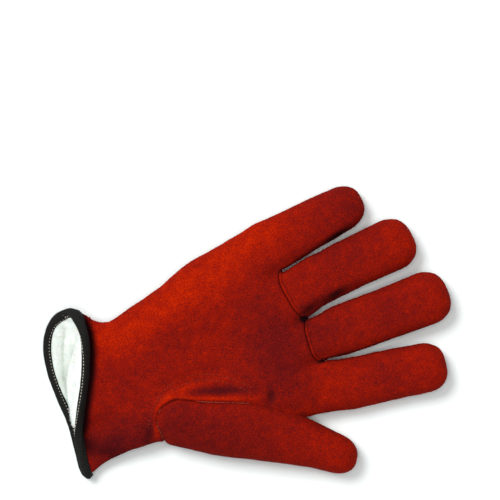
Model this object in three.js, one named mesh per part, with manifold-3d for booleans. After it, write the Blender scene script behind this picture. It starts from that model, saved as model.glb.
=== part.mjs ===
// A lined leather driver glove for the right hand. It lies on its back with the palm up.
// Millimetres. X runs along the hand to the fingertips, Y towards the little finger, Z up.
// The origin is the middle of the palm's back, on the surface that the glove lies on.

import * as THREE from 'three';
import Module from 'manifold-3d';

const wasm = await Module();
wasm.setup();

// Thicknesses and clearances
const LEATHER = 1.4;
const FLEECE = 2.0;
const FLEECE_PRESSED = 1.0;
const TAPE = 0.9;
const TAPE_WIDTH = 4.4;
const CLEARANCE = 0.4;
const SEAM_GAP = 0.36;

// Where the hand's lengthwise zones meet, and how square its cross-section is
const WRIST_X = -60;
const KNUCKLE_X = 50;
const HAND_SQUARENESS = 2.6;
const FINGER_SQUARENESS = 2.3;

// Sections across the hand from the wrist to the knuckles: the two outlines, the height of
// the side seam, and how high the palm and the back are along the middle
const HAND_SECTIONS = [
  { x: -60, radialY: -42.4, ulnarY: 41.6, sideZ: 13, palmZ: 24, backZ: 4.5 },
  { x: -48, radialY: -44, ulnarY: 44.4, sideZ: 13, palmZ: 25.5, backZ: 2.5 },
  { x: -24, radialY: -48, ulnarY: 50.6, sideZ: 13.5, palmZ: 28, backZ: 0 },
  { x: 0, radialY: -52.5, ulnarY: 59, sideZ: 13.5, palmZ: 29.5, backZ: -1 },
  { x: 28, radialY: -58, ulnarY: 64, sideZ: 13, palmZ: 28, backZ: -1 },
  { x: 50, radialY: -61.8, ulnarY: 68.2, sideZ: 11.5, palmZ: 24.5, backZ: -1 },
];

// The rim of the cuff, from the thumb's side to the little finger's side. The back lies flat,
// and the palm's side stands up and folds back like a lapel: fold is its lean in degrees, and
// leaving and arriving are how far the curve keeps its way from the wrist and to the rim.
const RIM_SECTIONS = [
  { share: -1, backX: -112, palmX: -110, palmZ: 14.5, fold: 0, leaving: 16, arriving: 16 },
  { share: -0.6, backX: -109.5, palmX: -105, palmZ: 16, fold: 64, leaving: 18, arriving: 14 },
  { share: -0.3, backX: -108, palmX: -97.5, palmZ: 20.5, fold: 128, leaving: 26, arriving: 25 },
  { share: 0.2, backX: -109.5, palmX: -83.5, palmZ: 28, fold: 143, leaving: 33, arriving: 33 },
  { share: 0.6, backX: -109.5, palmX: -75.5, palmZ: 31, fold: 145, leaving: 33, arriving: 36 },
  { share: 1, backX: -108.5, palmX: -71.5, palmZ: 30, fold: 138, leaving: 30, arriving: 36 },
];
const RIM_SIDE = {
  radial: { x: -108, y: -49.3, z: 7.4 },
  ulnar: { x: -84, y: 58, z: 15 },
};
const RIM_LIFT = 1.4;

// The points where neighbouring fingers part, with the outer ends of the knuckle line
const WEBS = [
  { x: 51, y: -61.8 },
  { x: 59, y: -29.3 },
  { x: 60.6, y: -0.6 },
  { x: 54.6, y: 33.6 },
  { x: 49, y: 68.2 },
];

// Each finger: its tip, how far its root lies to the little finger's side of the middle of its
// webs, its half widths near the web and near the tip, its half height, and how far the palm's
// seam dips below the webs
const FINGERS = [
  { name: 'index', tipX: 136.6, tipY: -58.8, root: -1.6,
    halfBase: 16.9, halfTip: 15.9, halfHeight: 11, dip: 0 },
  { name: 'middle', tipX: 153.4, tipY: -14.8, root: -0.5,
    halfBase: 16.3, halfTip: 17.2, halfHeight: 11.3, dip: 3.6 },
  { name: 'ring', tipX: 143.8, tipY: 27.4, root: 2.1,
    halfBase: 16.1, halfTip: 16.8, halfHeight: 11.5, dip: 5.4 },
  { name: 'little', tipX: 120.8, tipY: 61.2, root: 0,
    halfBase: 17.4, halfTip: 13.6, halfHeight: 10.2, dip: 0 },
];
const FLATTENED = 0.8;
const TIP_LENGTH = 15;
const TIP_RAISED = 2;
const TIP_TURN = 0.95;
const WEB_OPENING = 0.8;
const WEB_RAMP = 3;
const KNUCKLE_BLEND = 0.24;
const SEAM_ANGLE = { palm: THREE.MathUtils.degToRad(14), back: THREE.MathUtils.degToRad(38) };

// Soft swellings and hollows of the palm, as round hills in plan
const PALM_SWELLS = [
  { name: 'thumb pad', x: -20, y: -34, reachX: 26, reachY: 14, height: 2.5 },
  { name: 'heel', x: -26, y: 30, reachX: 24, reachY: 15, height: 1.5 },
  { name: 'hollow', x: 5, y: -2, reachX: 30, reachY: 20, height: -3 },
  { name: 'valley by the thumb', x: -22, y: -13, reachX: 24, reachY: 6, height: -3 },
  { name: 'index pad', x: 36, y: -44, reachX: 13, reachY: 10, height: 1.5 },
  { name: 'middle pad', x: 40, y: -14, reachX: 13, reachY: 10, height: 1.5 },
  { name: 'ring pad', x: 38, y: 16, reachX: 13, reachY: 11, height: 1.5 },
  { name: 'little pad', x: 34, y: 50, reachX: 14, reachY: 11, height: 1 },
];
const WEB_DIMPLE = { reachX: 10, reachY: 5, palm: -5.5, back: 4.5 };

// The back's gathers at the wrist, where an elastic draws the leather in
const GATHER = { columns: 4, depth: 2.1, reachHand: 20, reachCuff: 0.55 };

// The thumb's sections along its own axis, which leaves the hand's axis at an angle. Across is
// measured square to that axis in plan, and roll tips the section towards the hand's edge.
const THUMB_ANGLE = THREE.MathUtils.degToRad(31.5);
const THUMB_BASE = -30;
const THUMB_TIP_FROM = 88;
const THUMB_TIP = 102.4;
const THUMB_FLOOR = 0.4;
const THUMB_SIDES = 18;
const THUMB_ROWS = [-18, -8, 4, 17, 32, 48, 64, 78, THUMB_TIP_FROM];
const THUMB_SECTIONS = [
  { along: THUMB_BASE, across: -51, z: 21, halfWidth: 4, halfHeight: 2.5, roll: 30 },
  { along: -28.5, across: -51.2, z: 20.9, halfWidth: 8.2, halfHeight: 4, roll: 30 },
  { along: -26, across: -51.5, z: 20.6, halfWidth: 11.6, halfHeight: 5.4, roll: 30 },
  { along: -22.5, across: -51.8, z: 20.3, halfWidth: 15.2, halfHeight: 7.2, roll: 30 },
  { along: -18, across: -52, z: 20, halfWidth: 17.4, halfHeight: 9, roll: 28 },
  { along: -4, across: -50.8, z: 19.4, halfWidth: 18.8, halfHeight: 11, roll: 25 },
  { along: 12, across: -48.8, z: 18.8, halfWidth: 19.6, halfHeight: 12.5, roll: 22 },
  { along: 32, across: -46.4, z: 17.4, halfWidth: 19.2, halfHeight: 13.2, roll: 17 },
  { along: 54, across: -46.6, z: 15.4, halfWidth: 17, halfHeight: 12.8, roll: 10 },
  { along: 74, across: -48.4, z: 13.4, halfWidth: 14.6, halfHeight: 12, roll: 4 },
  { along: THUMB_TIP_FROM, across: -50.2, z: 12.4, halfWidth: 13, halfHeight: 11, roll: 2 },
  { along: THUMB_TIP, across: -51.6, z: 11.6, halfWidth: 12.4, halfHeight: 10.4, roll: 0 },
];

// Where the grid lines across the glove lie. Shares run from 0 to 1 along each zone.
const CUFF_ROWS = [1, 0.86, 0.72, 0.56, 0.38, 0.2];
const HAND_ROWS = [-60, -48, -34, -18, -2, 14, 28, 40, 50];
const FINGER_ROWS = [0.035, 0.1, 0.2, 0.36, 0.56, 0.8, 1];
const TIP_ANGLES = [32, 54, 70, 81, 90].map(THREE.MathUtils.degToRad);
const COLUMNS_PER_FINGER = [6, 5, 5, 6];
const LINING_END_X = 40;

const { lerp, clamp, smoothstep } = THREE.MathUtils;
const vector = (x, y, z) => new THREE.Vector3(x, y, z);
const power = (value, exponent) => Math.sign(value) * Math.abs(value) ** exponent;
const hill = (distance) => Math.exp(-distance * distance);

// Reads one named column of a table at any value of its key, along a smooth curve.
function along(table, key, column, at) {
  const last = table.length - 1;
  let row = 0;
  while (row < last - 1 && at > table[row + 1][key]) row += 1;
  const slope = (index) => {
    const before = table[Math.max(index - 1, 0)];
    const after = table[Math.min(index + 1, last)];
    return (after[column] - before[column]) / (after[key] - before[key]);
  };
  const step = table[row + 1][key] - table[row][key];
  const s = clamp((at - table[row][key]) / step, 0, 1);
  const rise = table[row + 1][column] - table[row][column];
  const start = slope(row) * step;
  const end = slope(row + 1) * step;
  return table[row][column] + start * s + (3 * rise - 2 * start - end) * s * s
    + (start + end - 2 * rise) * s * s * s;
}

// The hand's outline at the knuckles turns the webs into shares from -1 to 1 across the hand.
const knuckles = HAND_SECTIONS[HAND_SECTIONS.length - 1];
const shareAt = (y) => 2 * (y - knuckles.radialY) / (knuckles.ulnarY - knuckles.radialY) - 1;
WEBS.forEach((web) => { web.share = shareAt(web.y); });

// The finger frames, from the middle of the two webs to the tip
FINGERS.forEach((finger, index) => {
  const [radial, ulnar] = WEBS.slice(index, index + 2);
  const base = vector((radial.x + ulnar.x) / 2, (radial.y + ulnar.y) / 2 + finger.root, 0);
  const tip = vector(finger.tipX, finger.tipY, 0);
  finger.index = index;
  finger.base = base;
  finger.length = base.distanceTo(tip);
  finger.forward = tip.clone().sub(base).normalize();
  finger.ulnar = vector(-finger.forward.y, finger.forward.x, 0);
});

// The grid lines from the cuff to the fingertips. A line knows its finger, its place on the
// finger's width, and its share of the hand's width at the wrist and at the knuckles.
function gridLines() {
  const lines = [];
  const total = COLUMNS_PER_FINGER.reduce((sum, count) => sum + count, 0);
  FINGERS.forEach((finger, index) => {
    const count = COLUMNS_PER_FINGER[index];
    const from = index === 0 ? 0 : SEAM_ANGLE.palm;
    const to = index === 3 ? Math.PI : Math.PI - SEAM_ANGLE.palm;
    for (let step = 0; step <= count; step += 1) {
      const part = step / count;
      const width = (angle) => -power(Math.cos(angle), 2 / FINGER_SQUARENESS);
      const across = (width(lerp(from, to, part)) - width(from)) / (width(to) - width(from));
      const number = COLUMNS_PER_FINGER.slice(0, index).reduce((sum, columns) => sum + columns, 0) + step;
      const even = 2 * number / total - 1;
      const web = step === 0 ? index : step === count ? index + 1 : 0;
      lines.push({
        finger,
        part,
        number,
        inWeb: web > 0 && web < 4,
        wristShare: (even - Math.cos(Math.PI * number / total)) / 2,
        knuckleShare: lerp(WEBS[index].share, WEBS[index + 1].share, across),
      });
    }
  });
  return lines;
}
const LINES = gridLines();
const handLines = LINES.filter((line, index) => index === 0 || line.number !== LINES[index - 1].number);
const fingerLines = (finger) => LINES.filter((line) => line.finger === finger);

// How far the knuckle line lies beyond its straight row, with the dips of the sewn-on fronts
function knuckleReach(side, share) {
  let index = 0;
  while (index < 3 && share > WEBS[index + 1].share) index += 1;
  const part = (share - WEBS[index].share) / (WEBS[index + 1].share - WEBS[index].share);
  const dip = side === 'palm' ? FINGERS[index].dip * (1 - (2 * part - 1) ** 4) : 0;
  return lerp(WEBS[index].x, WEBS[index + 1].x, part) - KNUCKLE_X - dip;
}

// How much a round hill or hollow adds at a place
function swellAt(x, y, swell) {
  return swell.height * hill(Math.hypot((x - swell.x) / swell.reachX, (y - swell.y) / swell.reachY));
}

// The hand's rounding towards its sides: the height's share, and the way that depth is measured
function rounding(share) {
  const height = Math.max(1 - Math.abs(share) ** HAND_SQUARENESS, 0) ** (1 / HAND_SQUARENESS);
  const sideways = power(share, 3);
  const length = Math.hypot(height, sideways);
  return { height, sideways: sideways / length, upward: height / length };
}

function gatherAt(line, fade) {
  return GATHER.depth * (1 - Math.cos(2 * Math.PI * line.number / GATHER.columns)) * fade;
}

// A point of the hand between the wrist and the knuckles, at a depth below the outer surface
function handPoint(side, line, x, depth) {
  const share = lerp(line.wristShare, line.knuckleShare, smoothstep(x, WRIST_X, KNUCKLE_X - 10));
  const radialY = along(HAND_SECTIONS, 'x', 'radialY', x);
  const ulnarY = along(HAND_SECTIONS, 'x', 'ulnarY', x);
  const sideZ = along(HAND_SECTIONS, 'x', 'sideZ', x);
  const y = lerp(radialY, ulnarY, (share + 1) / 2);
  const round = rounding(share);
  const forward = knuckleReach(side, line.knuckleShare) * smoothstep(x, -10, KNUCKLE_X);
  const webs = WEBS.slice(1, 4);
  const dimple = (height) => webs.reduce((sum, web) => (
    sum + swellAt(x + forward, y, { ...WEB_DIMPLE, x: web.x, y: web.y, height })), 0);
  let z = sideZ;
  if (side === 'palm') {
    const swell = PALM_SWELLS.reduce((sum, each) => sum + swellAt(x + forward, y, each), 0);
    z += (along(HAND_SECTIONS, 'x', 'palmZ', x) + swell + dimple(WEB_DIMPLE.palm) - sideZ) * round.height;
    z -= depth * round.upward;
  } else {
    const gather = gatherAt(line, hill((x - WRIST_X) / GATHER.reachHand));
    z += (along(HAND_SECTIONS, 'x', 'backZ', x) + gather + dimple(WEB_DIMPLE.back) - sideZ) * round.height;
    z = Math.max(z + depth * round.upward, depth);
  }
  const webShift = line.inWeb && x === KNUCKLE_X ? depth : 0;
  return vector(x + forward - webShift, y - depth * round.sideways, z);
}

// A point of the cuff. The row runs from 0 at the wrist to 1 at the tape's edge and 2 at the rim,
// and a row past 2 lies beyond the rim, by its excess in millimetres.
function cuffPoint(side, line, row, depth) {
  const across = line.wristShare;
  const round = rounding(across);
  const edge = across < 0 ? RIM_SIDE.radial : RIM_SIDE.ulnar;
  const read = (column) => along(RIM_SECTIONS, 'share', column, across);
  const open = side === 'palm' ? round.height ** 1.5 : 0;
  const rimZ = side === 'palm' ? read('palmZ') : RIM_LIFT;
  const rim = vector(
    lerp(edge.x, side === 'palm' ? read('palmX') : read('backX'), round.height),
    lerp(RIM_SIDE.radial.y, RIM_SIDE.ulnar.y, (across + 1) / 2),
    lerp(edge.z, rimZ, round.height),
  );
  const wrist = handPoint(side, line, WRIST_X, 0);
  if (side === 'back') wrist.z -= gatherAt(line, round.height);
  const third = wrist.distanceTo(rim) / 3;
  const drift = rim.y - wrist.y;
  const toUlnar = (across + 1) / 2;
  const leavingY = wrist.y + drift * lerp(-0.15, 0.1, toUlnar);
  const arrivingY = rim.y - drift * lerp(1.25, 0.5, toUlnar);
  const fold = THREE.MathUtils.degToRad(read('fold')) * open;
  const reach = lerp(third, read('arriving'), open);
  const leaving = vector(wrist.x - lerp(third, read('leaving'), open), leavingY, wrist.z);
  const arriving = vector(rim.x + reach * Math.cos(fold), arrivingY, rim.z - reach * Math.sin(fold));
  const curve = new THREE.CubicBezierCurve3(wrist, leaving, arriving, rim);
  const tapeShare = 1 - TAPE_WIDTH / (3 * rim.distanceTo(arriving));
  const share = row <= 1 ? row * tapeShare : lerp(tapeShare, 1, Math.min(row - 1, 1));
  const tangent = curve.getTangent(share);
  const point = curve.getPoint(share).addScaledVector(tangent, Math.max(row - 2, 0));
  const up = vector(tangent.z, 0, -tangent.x).normalize();
  if (side === 'back') {
    up.negate();
    point.z += gatherAt(line, round.height * hill(share / GATHER.reachCuff));
  }
  const flare = Math.atan2(lerp(leavingY - wrist.y, rim.y - arrivingY, share), third);
  const sideways = vector(Math.sin(flare), Math.cos(flare), 0);
  point.addScaledVector(up, -depth * round.upward).addScaledVector(sideways, -depth * round.sideways);
  if (side === 'back') point.z = Math.max(point.z, RIM_LIFT * smoothstep(share, 0, 1) + depth);
  return point;
}

// A point of a finger. The angle turns from the thumb's side over the palm to the other side,
// start is the knuckle point that this line leaves, and hold says how much it is a web line.
function fingerPoint(finger, row, angle, start, hold, depth) {
  const tipTurn = row.tip ?? 0;
  const tipLength = Math.min(TIP_LENGTH, finger.length / 3);
  const reach = row.tip === undefined
    ? row.share * (finger.length - tipLength)
    : finger.length - tipLength + (tipLength - depth) * Math.sin(tipTurn);
  const part = reach / finger.length;
  const narrow = tipTurn ? Math.cos(tipTurn * TIP_TURN) ** 0.8 : 1;
  const flat = tipTurn ? Math.max(Math.cos(tipTurn), 0) ** 0.85 : 1;
  const height = finger.halfHeight - depth;
  const middleZ = finger.halfHeight - FLATTENED + TIP_RAISED * smoothstep(part, 0.5, 1);
  const across = -power(Math.cos(angle), 2 / FINGER_SQUARENESS);
  const upward = power(Math.sin(angle), 2 / FINGER_SQUARENESS);
  const half = (lerp(finger.halfBase, finger.halfTip, part) - depth) * narrow;
  const ideal = finger.base.clone()
    .addScaledVector(finger.forward, reach)
    .addScaledVector(finger.ulnar, across * half);
  ideal.z = Math.max(middleZ + upward * height * flat, Math.min(depth, middleZ));
  const opened = smoothstep(reach, 0, WEB_RAMP);
  const leaving = start.clone()
    .addScaledVector(finger.forward, reach)
    .addScaledVector(finger.ulnar, -Math.sign(across) * hold * opened * (WEB_OPENING + depth));
  leaving.x += hold * opened * depth;
  return leaving.lerp(ideal, smoothstep(part, 0, KNUCKLE_BLEND));
}

// The seam angle closes to nothing near the fingertip, where the strip between fingers ends.
function seamAngle(side, row) {
  if (row.tip !== undefined) return row.tip < TIP_ANGLES[1] ? SEAM_ANGLE[side] * 0.14 : 0;
  return SEAM_ANGLE[side] * (1 - 0.65 * smoothstep(row.share, 0.4, 1));
}

// A point of a grid line in one of the finger's rows
function linePoint(side, line, row, depth) {
  const { finger, part } = line;
  const start = handPoint(side, line, KNUCKLE_X, depth);
  if (row.share === 0) return start;
  const seam = seamAngle(side, row);
  const from = finger.index === 0 ? 0 : seam;
  const to = finger.index === 3 ? Math.PI : Math.PI - seam;
  const angle = lerp(from, to, part);
  const outer = (finger.index === 0 && part < 0.5) || (finger.index === 3 && part > 0.5);
  const hold = outer ? 0 : Math.abs(2 * part - 1) ** 5;
  return fingerPoint(finger, row, side === 'palm' ? angle : 2 * Math.PI - angle, start, hold, depth);
}

// Rows are named by zone: the cuff's share, the hand's X, or the finger's share and tip angle.
const cuffAndHandRows = [
  { cuff: 2 },
  ...CUFF_ROWS.map((cuff) => ({ cuff })),
  ...HAND_ROWS.map((hand) => ({ hand })),
];
const fingerRows = [
  { share: 0 },
  ...FINGER_ROWS.map((share) => ({ share })),
  ...TIP_ANGLES.map((tip) => ({ share: 1, tip })),
];

function glovePoint(side, line, row, depth) {
  if (row.cuff !== undefined) return cuffPoint(side, line, row.cuff, depth);
  if (row.hand !== undefined) return handPoint(side, line, row.hand, depth);
  return linePoint(side, line, row, depth);
}

// The loop of grid lines round the hand: over the palm, and back along the back
const loop = [
  ...handLines.map((line) => ({ side: 'palm', line })),
  ...handLines.slice(1, -1).reverse().map((line) => ({ side: 'back', line })),
];

// Splits a four-sided face along its shorter diagonal.
function halves(points, [a, b, c, d]) {
  const straight = points[a].distanceTo(points[c]) <= points[b].distanceTo(points[d]);
  return straight ? [[a, b, c], [a, c, d]] : [[a, b, d], [b, c, d]];
}

// A sheet of leather or cloth, gathered from grids that share their lines. It keeps an outer
// and an inner layer, and is closed round its border a little inside its seam line.
class Sheet {
  constructor(outerDepth, innerDepth) {
    this.depths = [outerDepth, innerDepth];
    this.layers = [[], []];
    this.quads = [];
    this.known = new Map();
  }

  corner(place) {
    const outer = place(this.depths[0]);
    const key = outer.toArray().map((value) => Math.round(value * 500)).join();
    if (!this.known.has(key)) {
      this.known.set(key, this.layers[0].length);
      this.layers[0].push(outer);
      this.layers[1].push(place(this.depths[1]));
    }
    return this.known.get(key);
  }

  addGrid(rows, columns, place) {
    const corners = rows.map((row) => (
      columns.map((column) => this.corner((depth) => place(column, row, depth)))));
    for (let row = 1; row < rows.length; row += 1) {
      for (let column = 1; column < columns.length; column += 1) {
        this.quads.push([
          corners[row - 1][column - 1],
          corners[row - 1][column],
          corners[row][column],
          corners[row][column - 1],
        ]);
      }
    }
    return this;
  }

  // Border edges belong to one quad alone, and keep that quad's turning direction.
  border() {
    const edges = new Map();
    this.quads.forEach((quad) => quad.forEach((from, index) => {
      const to = quad[(index + 1) % 4];
      const twin = `${to}_${from}`;
      if (edges.has(twin)) edges.delete(twin);
      else edges.set(`${from}_${to}`, { from, to, quad });
    }));
    return [...edges.values()];
  }

  // Moves one layer's border inwards along the sheet, square to each border edge.
  drawnIn(layer, border) {
    const inwards = new Map();
    border.forEach(({ from, to, quad }) => {
      const edge = layer[to].clone().sub(layer[from]).normalize();
      const middle = quad.reduce((sum, corner) => sum.add(layer[corner]), vector(0, 0, 0)).divideScalar(4);
      const inward = middle.sub(layer[from]);
      inward.addScaledVector(edge, -inward.dot(edge)).normalize();
      [from, to].forEach((corner) => inwards.set(corner, [...(inwards.get(corner) ?? []), inward]));
    });
    return layer.map((point, index) => {
      if (!inwards.has(index)) return point;
      const [first, second] = inwards.get(index);
      const both = first.clone().add(second).divideScalar(Math.max(1 + first.dot(second), 0.3));
      return point.clone().addScaledVector(both, SEAM_GAP / 2);
    });
  }

  solid() {
    const border = this.border();
    const [outer, inner] = this.layers.map((layer) => this.drawnIn(layer, border));
    const triangles = [];
    const count = outer.length;
    this.quads.forEach((quad) => {
      halves(this.layers[0], quad).forEach(([a, b, c]) => {
        triangles.push([a, b, c], [c + count, b + count, a + count]);
      });
    });
    const both = this.layers.flat();
    border.forEach(({ from, to }) => {
      triangles.push(...halves(both, [to, from, from + count, to + count]));
    });
    return closedSolid([...outer, ...inner], triangles);
  }
}

// Turns points and triangles into a solid whose faces point outwards.
function closedSolid(points, triangles) {
  const volume = triangles.reduce((sum, [a, b, c]) => (
    sum + points[a].dot(points[b].clone().cross(points[c]))), 0);
  const facing = volume < 0 ? triangles.map(([a, b, c]) => [c, b, a]) : triangles;
  return new wasm.Manifold(new wasm.Mesh({
    numProp: 3,
    vertProperties: new Float32Array(points.flatMap((point) => point.toArray())),
    triVerts: new Uint32Array(facing.flat()),
  }));
}

// Joins closed rings of points into a solid. The ends are closed by a fan, or meet each other.
function ringSolid(rings, endless) {
  const sides = rings[0].length;
  const points = rings.flat();
  const triangles = [];
  const last = endless ? rings.length : rings.length - 1;
  for (let ring = 0; ring < last; ring += 1) {
    const next = (ring + 1) % rings.length;
    for (let side = 0; side < sides; side += 1) {
      const after = (side + 1) % sides;
      const [a, b] = [ring * sides + side, ring * sides + after];
      const [c, d] = [next * sides + after, next * sides + side];
      triangles.push(...halves(points, [a, b, c, d]));
    }
  }
  if (!endless) {
    [0, rings.length - 1].forEach((ring) => {
      const centre = rings[ring].reduce((sum, point) => sum.clone().add(point), vector(0, 0, 0));
      points.push(centre.divideScalar(sides));
      for (let side = 0; side < sides; side += 1) {
        const pair = [ring * sides + (side + 1) % sides, ring * sides + side];
        triangles.push([points.length - 1, ...(ring === 0 ? pair : pair.reverse())]);
      }
    });
  }
  return closedSolid(points, triangles);
}

// The panels
const handPanel = (sheet, side) => sheet.addGrid(
  cuffAndHandRows,
  handLines,
  (line, row, depth) => glovePoint(side, line, row, depth),
);
const fingerPanel = (sheet, side, finger) => sheet.addGrid(
  fingerRows,
  fingerLines(finger),
  (line, row, depth) => glovePoint(side, line, row, depth),
);

const [indexFinger, middleFinger, ringFinger, littleFinger] = FINGERS;
const palmSheet = handPanel(new Sheet(0, LEATHER), 'palm');
fingerPanel(palmSheet, 'palm', indexFinger);
fingerPanel(palmSheet, 'palm', littleFinger);
const middleFront = fingerPanel(new Sheet(0, LEATHER), 'palm', middleFinger).solid();
const ringFront = fingerPanel(new Sheet(0, LEATHER), 'palm', ringFinger).solid();

const backSheet = handPanel(new Sheet(0, LEATHER), 'back');
FINGERS.forEach((finger) => fingerPanel(backSheet, 'back', finger));

// The strip between two fingers runs down one finger, round the web and up the other.
function fourchette(radial, ulnar) {
  const webLine = fingerLines(radial).at(-1);
  const rows = fingerRows.filter((row) => row.tip === undefined || row.tip <= TIP_ANGLES[0]);
  const stations = [
    ...rows.slice(1).reverse().map((row) => ({ finger: radial, row })),
    { row: rows[0] },
    ...rows.slice(1).map((row) => ({ finger: ulnar, row })),
  ];
  const place = (part, { finger, row }, depth) => {
    const start = handPoint('palm', webLine, KNUCKLE_X, depth)
      .lerp(handPoint('back', webLine, KNUCKLE_X, depth), part);
    if (!finger) return start;
    const turn = lerp(seamAngle('palm', row), -seamAngle('back', row), part);
    return fingerPoint(finger, row, finger === radial ? Math.PI - turn : turn, start, 1, depth);
  };
  return new Sheet(0, LEATHER).addGrid(stations, [0, 0.5, 1], place).solid();
}

// The lining follows the leather, just inside it. The tape presses its fleece thinner.
const liningDepth = LEATHER + CLEARANCE;
const pressed = ({ cuff }, depth) => (
  depth > liningDepth ? depth - (FLEECE - FLEECE_PRESSED) * smoothstep(cuff ?? 0, 0.8, 1) : depth);
const liningRows = cuffAndHandRows.filter((row) => row.hand === undefined || row.hand <= LINING_END_X);
const liningSleeve = new Sheet(liningDepth, liningDepth + FLEECE)
  .addGrid(liningRows, [...loop, loop[0]], ({ side, line }, row, depth) => (
    glovePoint(side, line, row, pressed(row, depth))))
  .solid();

// The tape's section, folded over the rim: rows as in cuffPoint, and depths below the leather
const tapeInside = liningDepth + FLEECE_PRESSED + CLEARANCE;
const TAPE_SECTION = [
  { row: 1, depth: -CLEARANCE - TAPE },
  { row: 2 + CLEARANCE, depth: -CLEARANCE - TAPE },
  { row: 2 + CLEARANCE + TAPE, depth: tapeInside / 2 },
  { row: 2 + CLEARANCE, depth: tapeInside + TAPE },
  { row: 1, depth: tapeInside + TAPE },
  { row: 1, depth: tapeInside },
  { row: 2 + CLEARANCE, depth: tapeInside },
  { row: 2 + CLEARANCE, depth: -CLEARANCE },
  { row: 1, depth: -CLEARANCE },
];
const binding = ringSolid(loop.map(({ side, line }) => (
  TAPE_SECTION.map(({ row, depth }) => cuffPoint(side, line, row, depth)))), true);

// The thumb's outer or inner form, as rings across its axis
function thumbForm(depth) {
  const forward = vector(Math.cos(THUMB_ANGLE), -Math.sin(THUMB_ANGLE), 0);
  const inward = vector(Math.sin(THUMB_ANGLE), Math.cos(THUMB_ANGLE), 0);
  const tipLength = THUMB_TIP - THUMB_TIP_FROM;
  const ringAt = (place, turn) => {
    const read = (column) => along(THUMB_SECTIONS, 'along', column, place);
    const roll = THREE.MathUtils.degToRad(read('roll'));
    const lateral = inward.clone().multiplyScalar(Math.cos(roll)).add(vector(0, 0, Math.sin(roll)));
    const upward = inward.clone().multiplyScalar(-Math.sin(roll)).add(vector(0, 0, Math.cos(roll)));
    const centre = forward.clone().multiplyScalar(place).addScaledVector(inward, read('across'));
    centre.z = read('z');
    const narrow = Math.cos(turn * TIP_TURN) ** 0.9;
    const wide = (read('halfWidth') - depth) * narrow;
    const high = (read('halfHeight') - depth) * narrow;
    return Array.from({ length: THUMB_SIDES }, (_, side) => {
      const angle = 2 * Math.PI * side / THUMB_SIDES;
      const point = centre.clone()
        .addScaledVector(lateral, power(Math.cos(angle), 2 / FINGER_SQUARENESS) * wide)
        .addScaledVector(upward, power(Math.sin(angle), 2 / FINGER_SQUARENESS) * high);
      point.z = Math.max(point.z, THUMB_FLOOR + depth);
      return point;
    });
  };
  const rounded = THUMB_SECTIONS.slice(0, 4).map((section, index) => section.along + depth * (1 - index / 5));
  const places = [...rounded, ...THUMB_ROWS];
  const rings = places.map((place) => ringAt(place, 0));
  TIP_ANGLES.slice(0, -1).forEach((turn) => {
    rings.push(ringAt(THUMB_TIP_FROM + (tipLength - depth) * Math.sin(turn), turn));
  });
  return ringSolid(rings, false);
}

// The hand's own volume, grown by the clearance, carves the thumb's base to fit the palm.
const carvingRows = cuffAndHandRows.filter((row) => row.hand !== undefined || row.cuff < 0.6);
const handVolume = ringSolid(carvingRows.map((row) => (
  loop.map(({ side, line }) => glovePoint(side, line, row, -CLEARANCE)))), false);
const thumbHollow = thumbForm(LEATHER);
const thumb = thumbForm(0).subtract(thumbHollow).subtract(handVolume);
const palm = palmSheet.solid().subtract(thumbHollow);
const lining = liningSleeve.subtract(thumbHollow);

// Colours of the real finishes
const FINISHES = {
  suede: { color: 0xb8210c, roughness: 0.92, metalness: 0 },
  fleece: { color: 0xf1f3ee, roughness: 1, metalness: 0 },
  tape: { color: 0x17181a, roughness: 0.8, metalness: 0 },
};

function piece(name, solid, finish) {
  const { numProp, vertProperties, triVerts } = solid.getMesh();
  const positions = [];
  for (let vertex = 0; vertex < vertProperties.length; vertex += numProp) {
    positions.push(...vertProperties.subarray(vertex, vertex + 3));
  }
  const geometry = new THREE.BufferGeometry();
  geometry.setAttribute('position', new THREE.Float32BufferAttribute(positions, 3));
  geometry.setIndex([...triVerts]);
  const mesh = new THREE.Mesh(geometry, new THREE.MeshStandardMaterial(FINISHES[finish]));
  mesh.name = name;
  return mesh;
}

const glove = new THREE.Group();
glove.name = 'lined_driver_glove';
glove.add(
  piece('back_panel', backSheet.solid(), 'suede'),
  piece('palm_panel', palm, 'suede'),
  piece('middle_finger_front', middleFront, 'suede'),
  piece('ring_finger_front', ringFront, 'suede'),
  piece('fourchette_index_middle', fourchette(indexFinger, middleFinger), 'suede'),
  piece('fourchette_middle_ring', fourchette(middleFinger, ringFinger), 'suede'),
  piece('fourchette_ring_little', fourchette(ringFinger, littleFinger), 'suede'),
  piece('thumb', thumb, 'suede'),
  piece('cuff_lining', lining, 'fleece'),
  piece('cuff_binding', binding, 'tape'),
);

export default glove;
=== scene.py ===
# A lined leather driver glove for the right hand, lying on its back with the palm up.
# The shape tables are in millimetres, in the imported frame: X to the fingertips, Y to the
# little finger, Z up. Every mesh is turned to metres when it is made.
import math
import random

import bmesh
import bpy
import numpy as np
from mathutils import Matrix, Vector, kdtree, noise
from mathutils.bvhtree import BVHTree


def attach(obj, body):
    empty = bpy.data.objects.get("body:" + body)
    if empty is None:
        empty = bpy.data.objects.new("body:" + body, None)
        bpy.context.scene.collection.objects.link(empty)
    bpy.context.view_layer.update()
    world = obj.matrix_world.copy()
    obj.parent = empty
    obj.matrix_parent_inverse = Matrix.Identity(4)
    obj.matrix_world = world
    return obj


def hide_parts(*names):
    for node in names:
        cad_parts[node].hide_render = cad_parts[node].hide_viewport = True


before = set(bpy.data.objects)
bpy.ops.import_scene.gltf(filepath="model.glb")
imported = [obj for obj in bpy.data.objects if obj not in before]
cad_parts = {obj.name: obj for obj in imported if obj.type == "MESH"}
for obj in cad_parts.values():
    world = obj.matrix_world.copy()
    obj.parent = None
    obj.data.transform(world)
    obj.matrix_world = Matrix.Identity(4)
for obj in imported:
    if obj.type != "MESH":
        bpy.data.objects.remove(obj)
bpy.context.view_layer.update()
bpy.ops.object.select_all(action="DESELECT")
print("stage: the packed glove is loaded")

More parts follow.
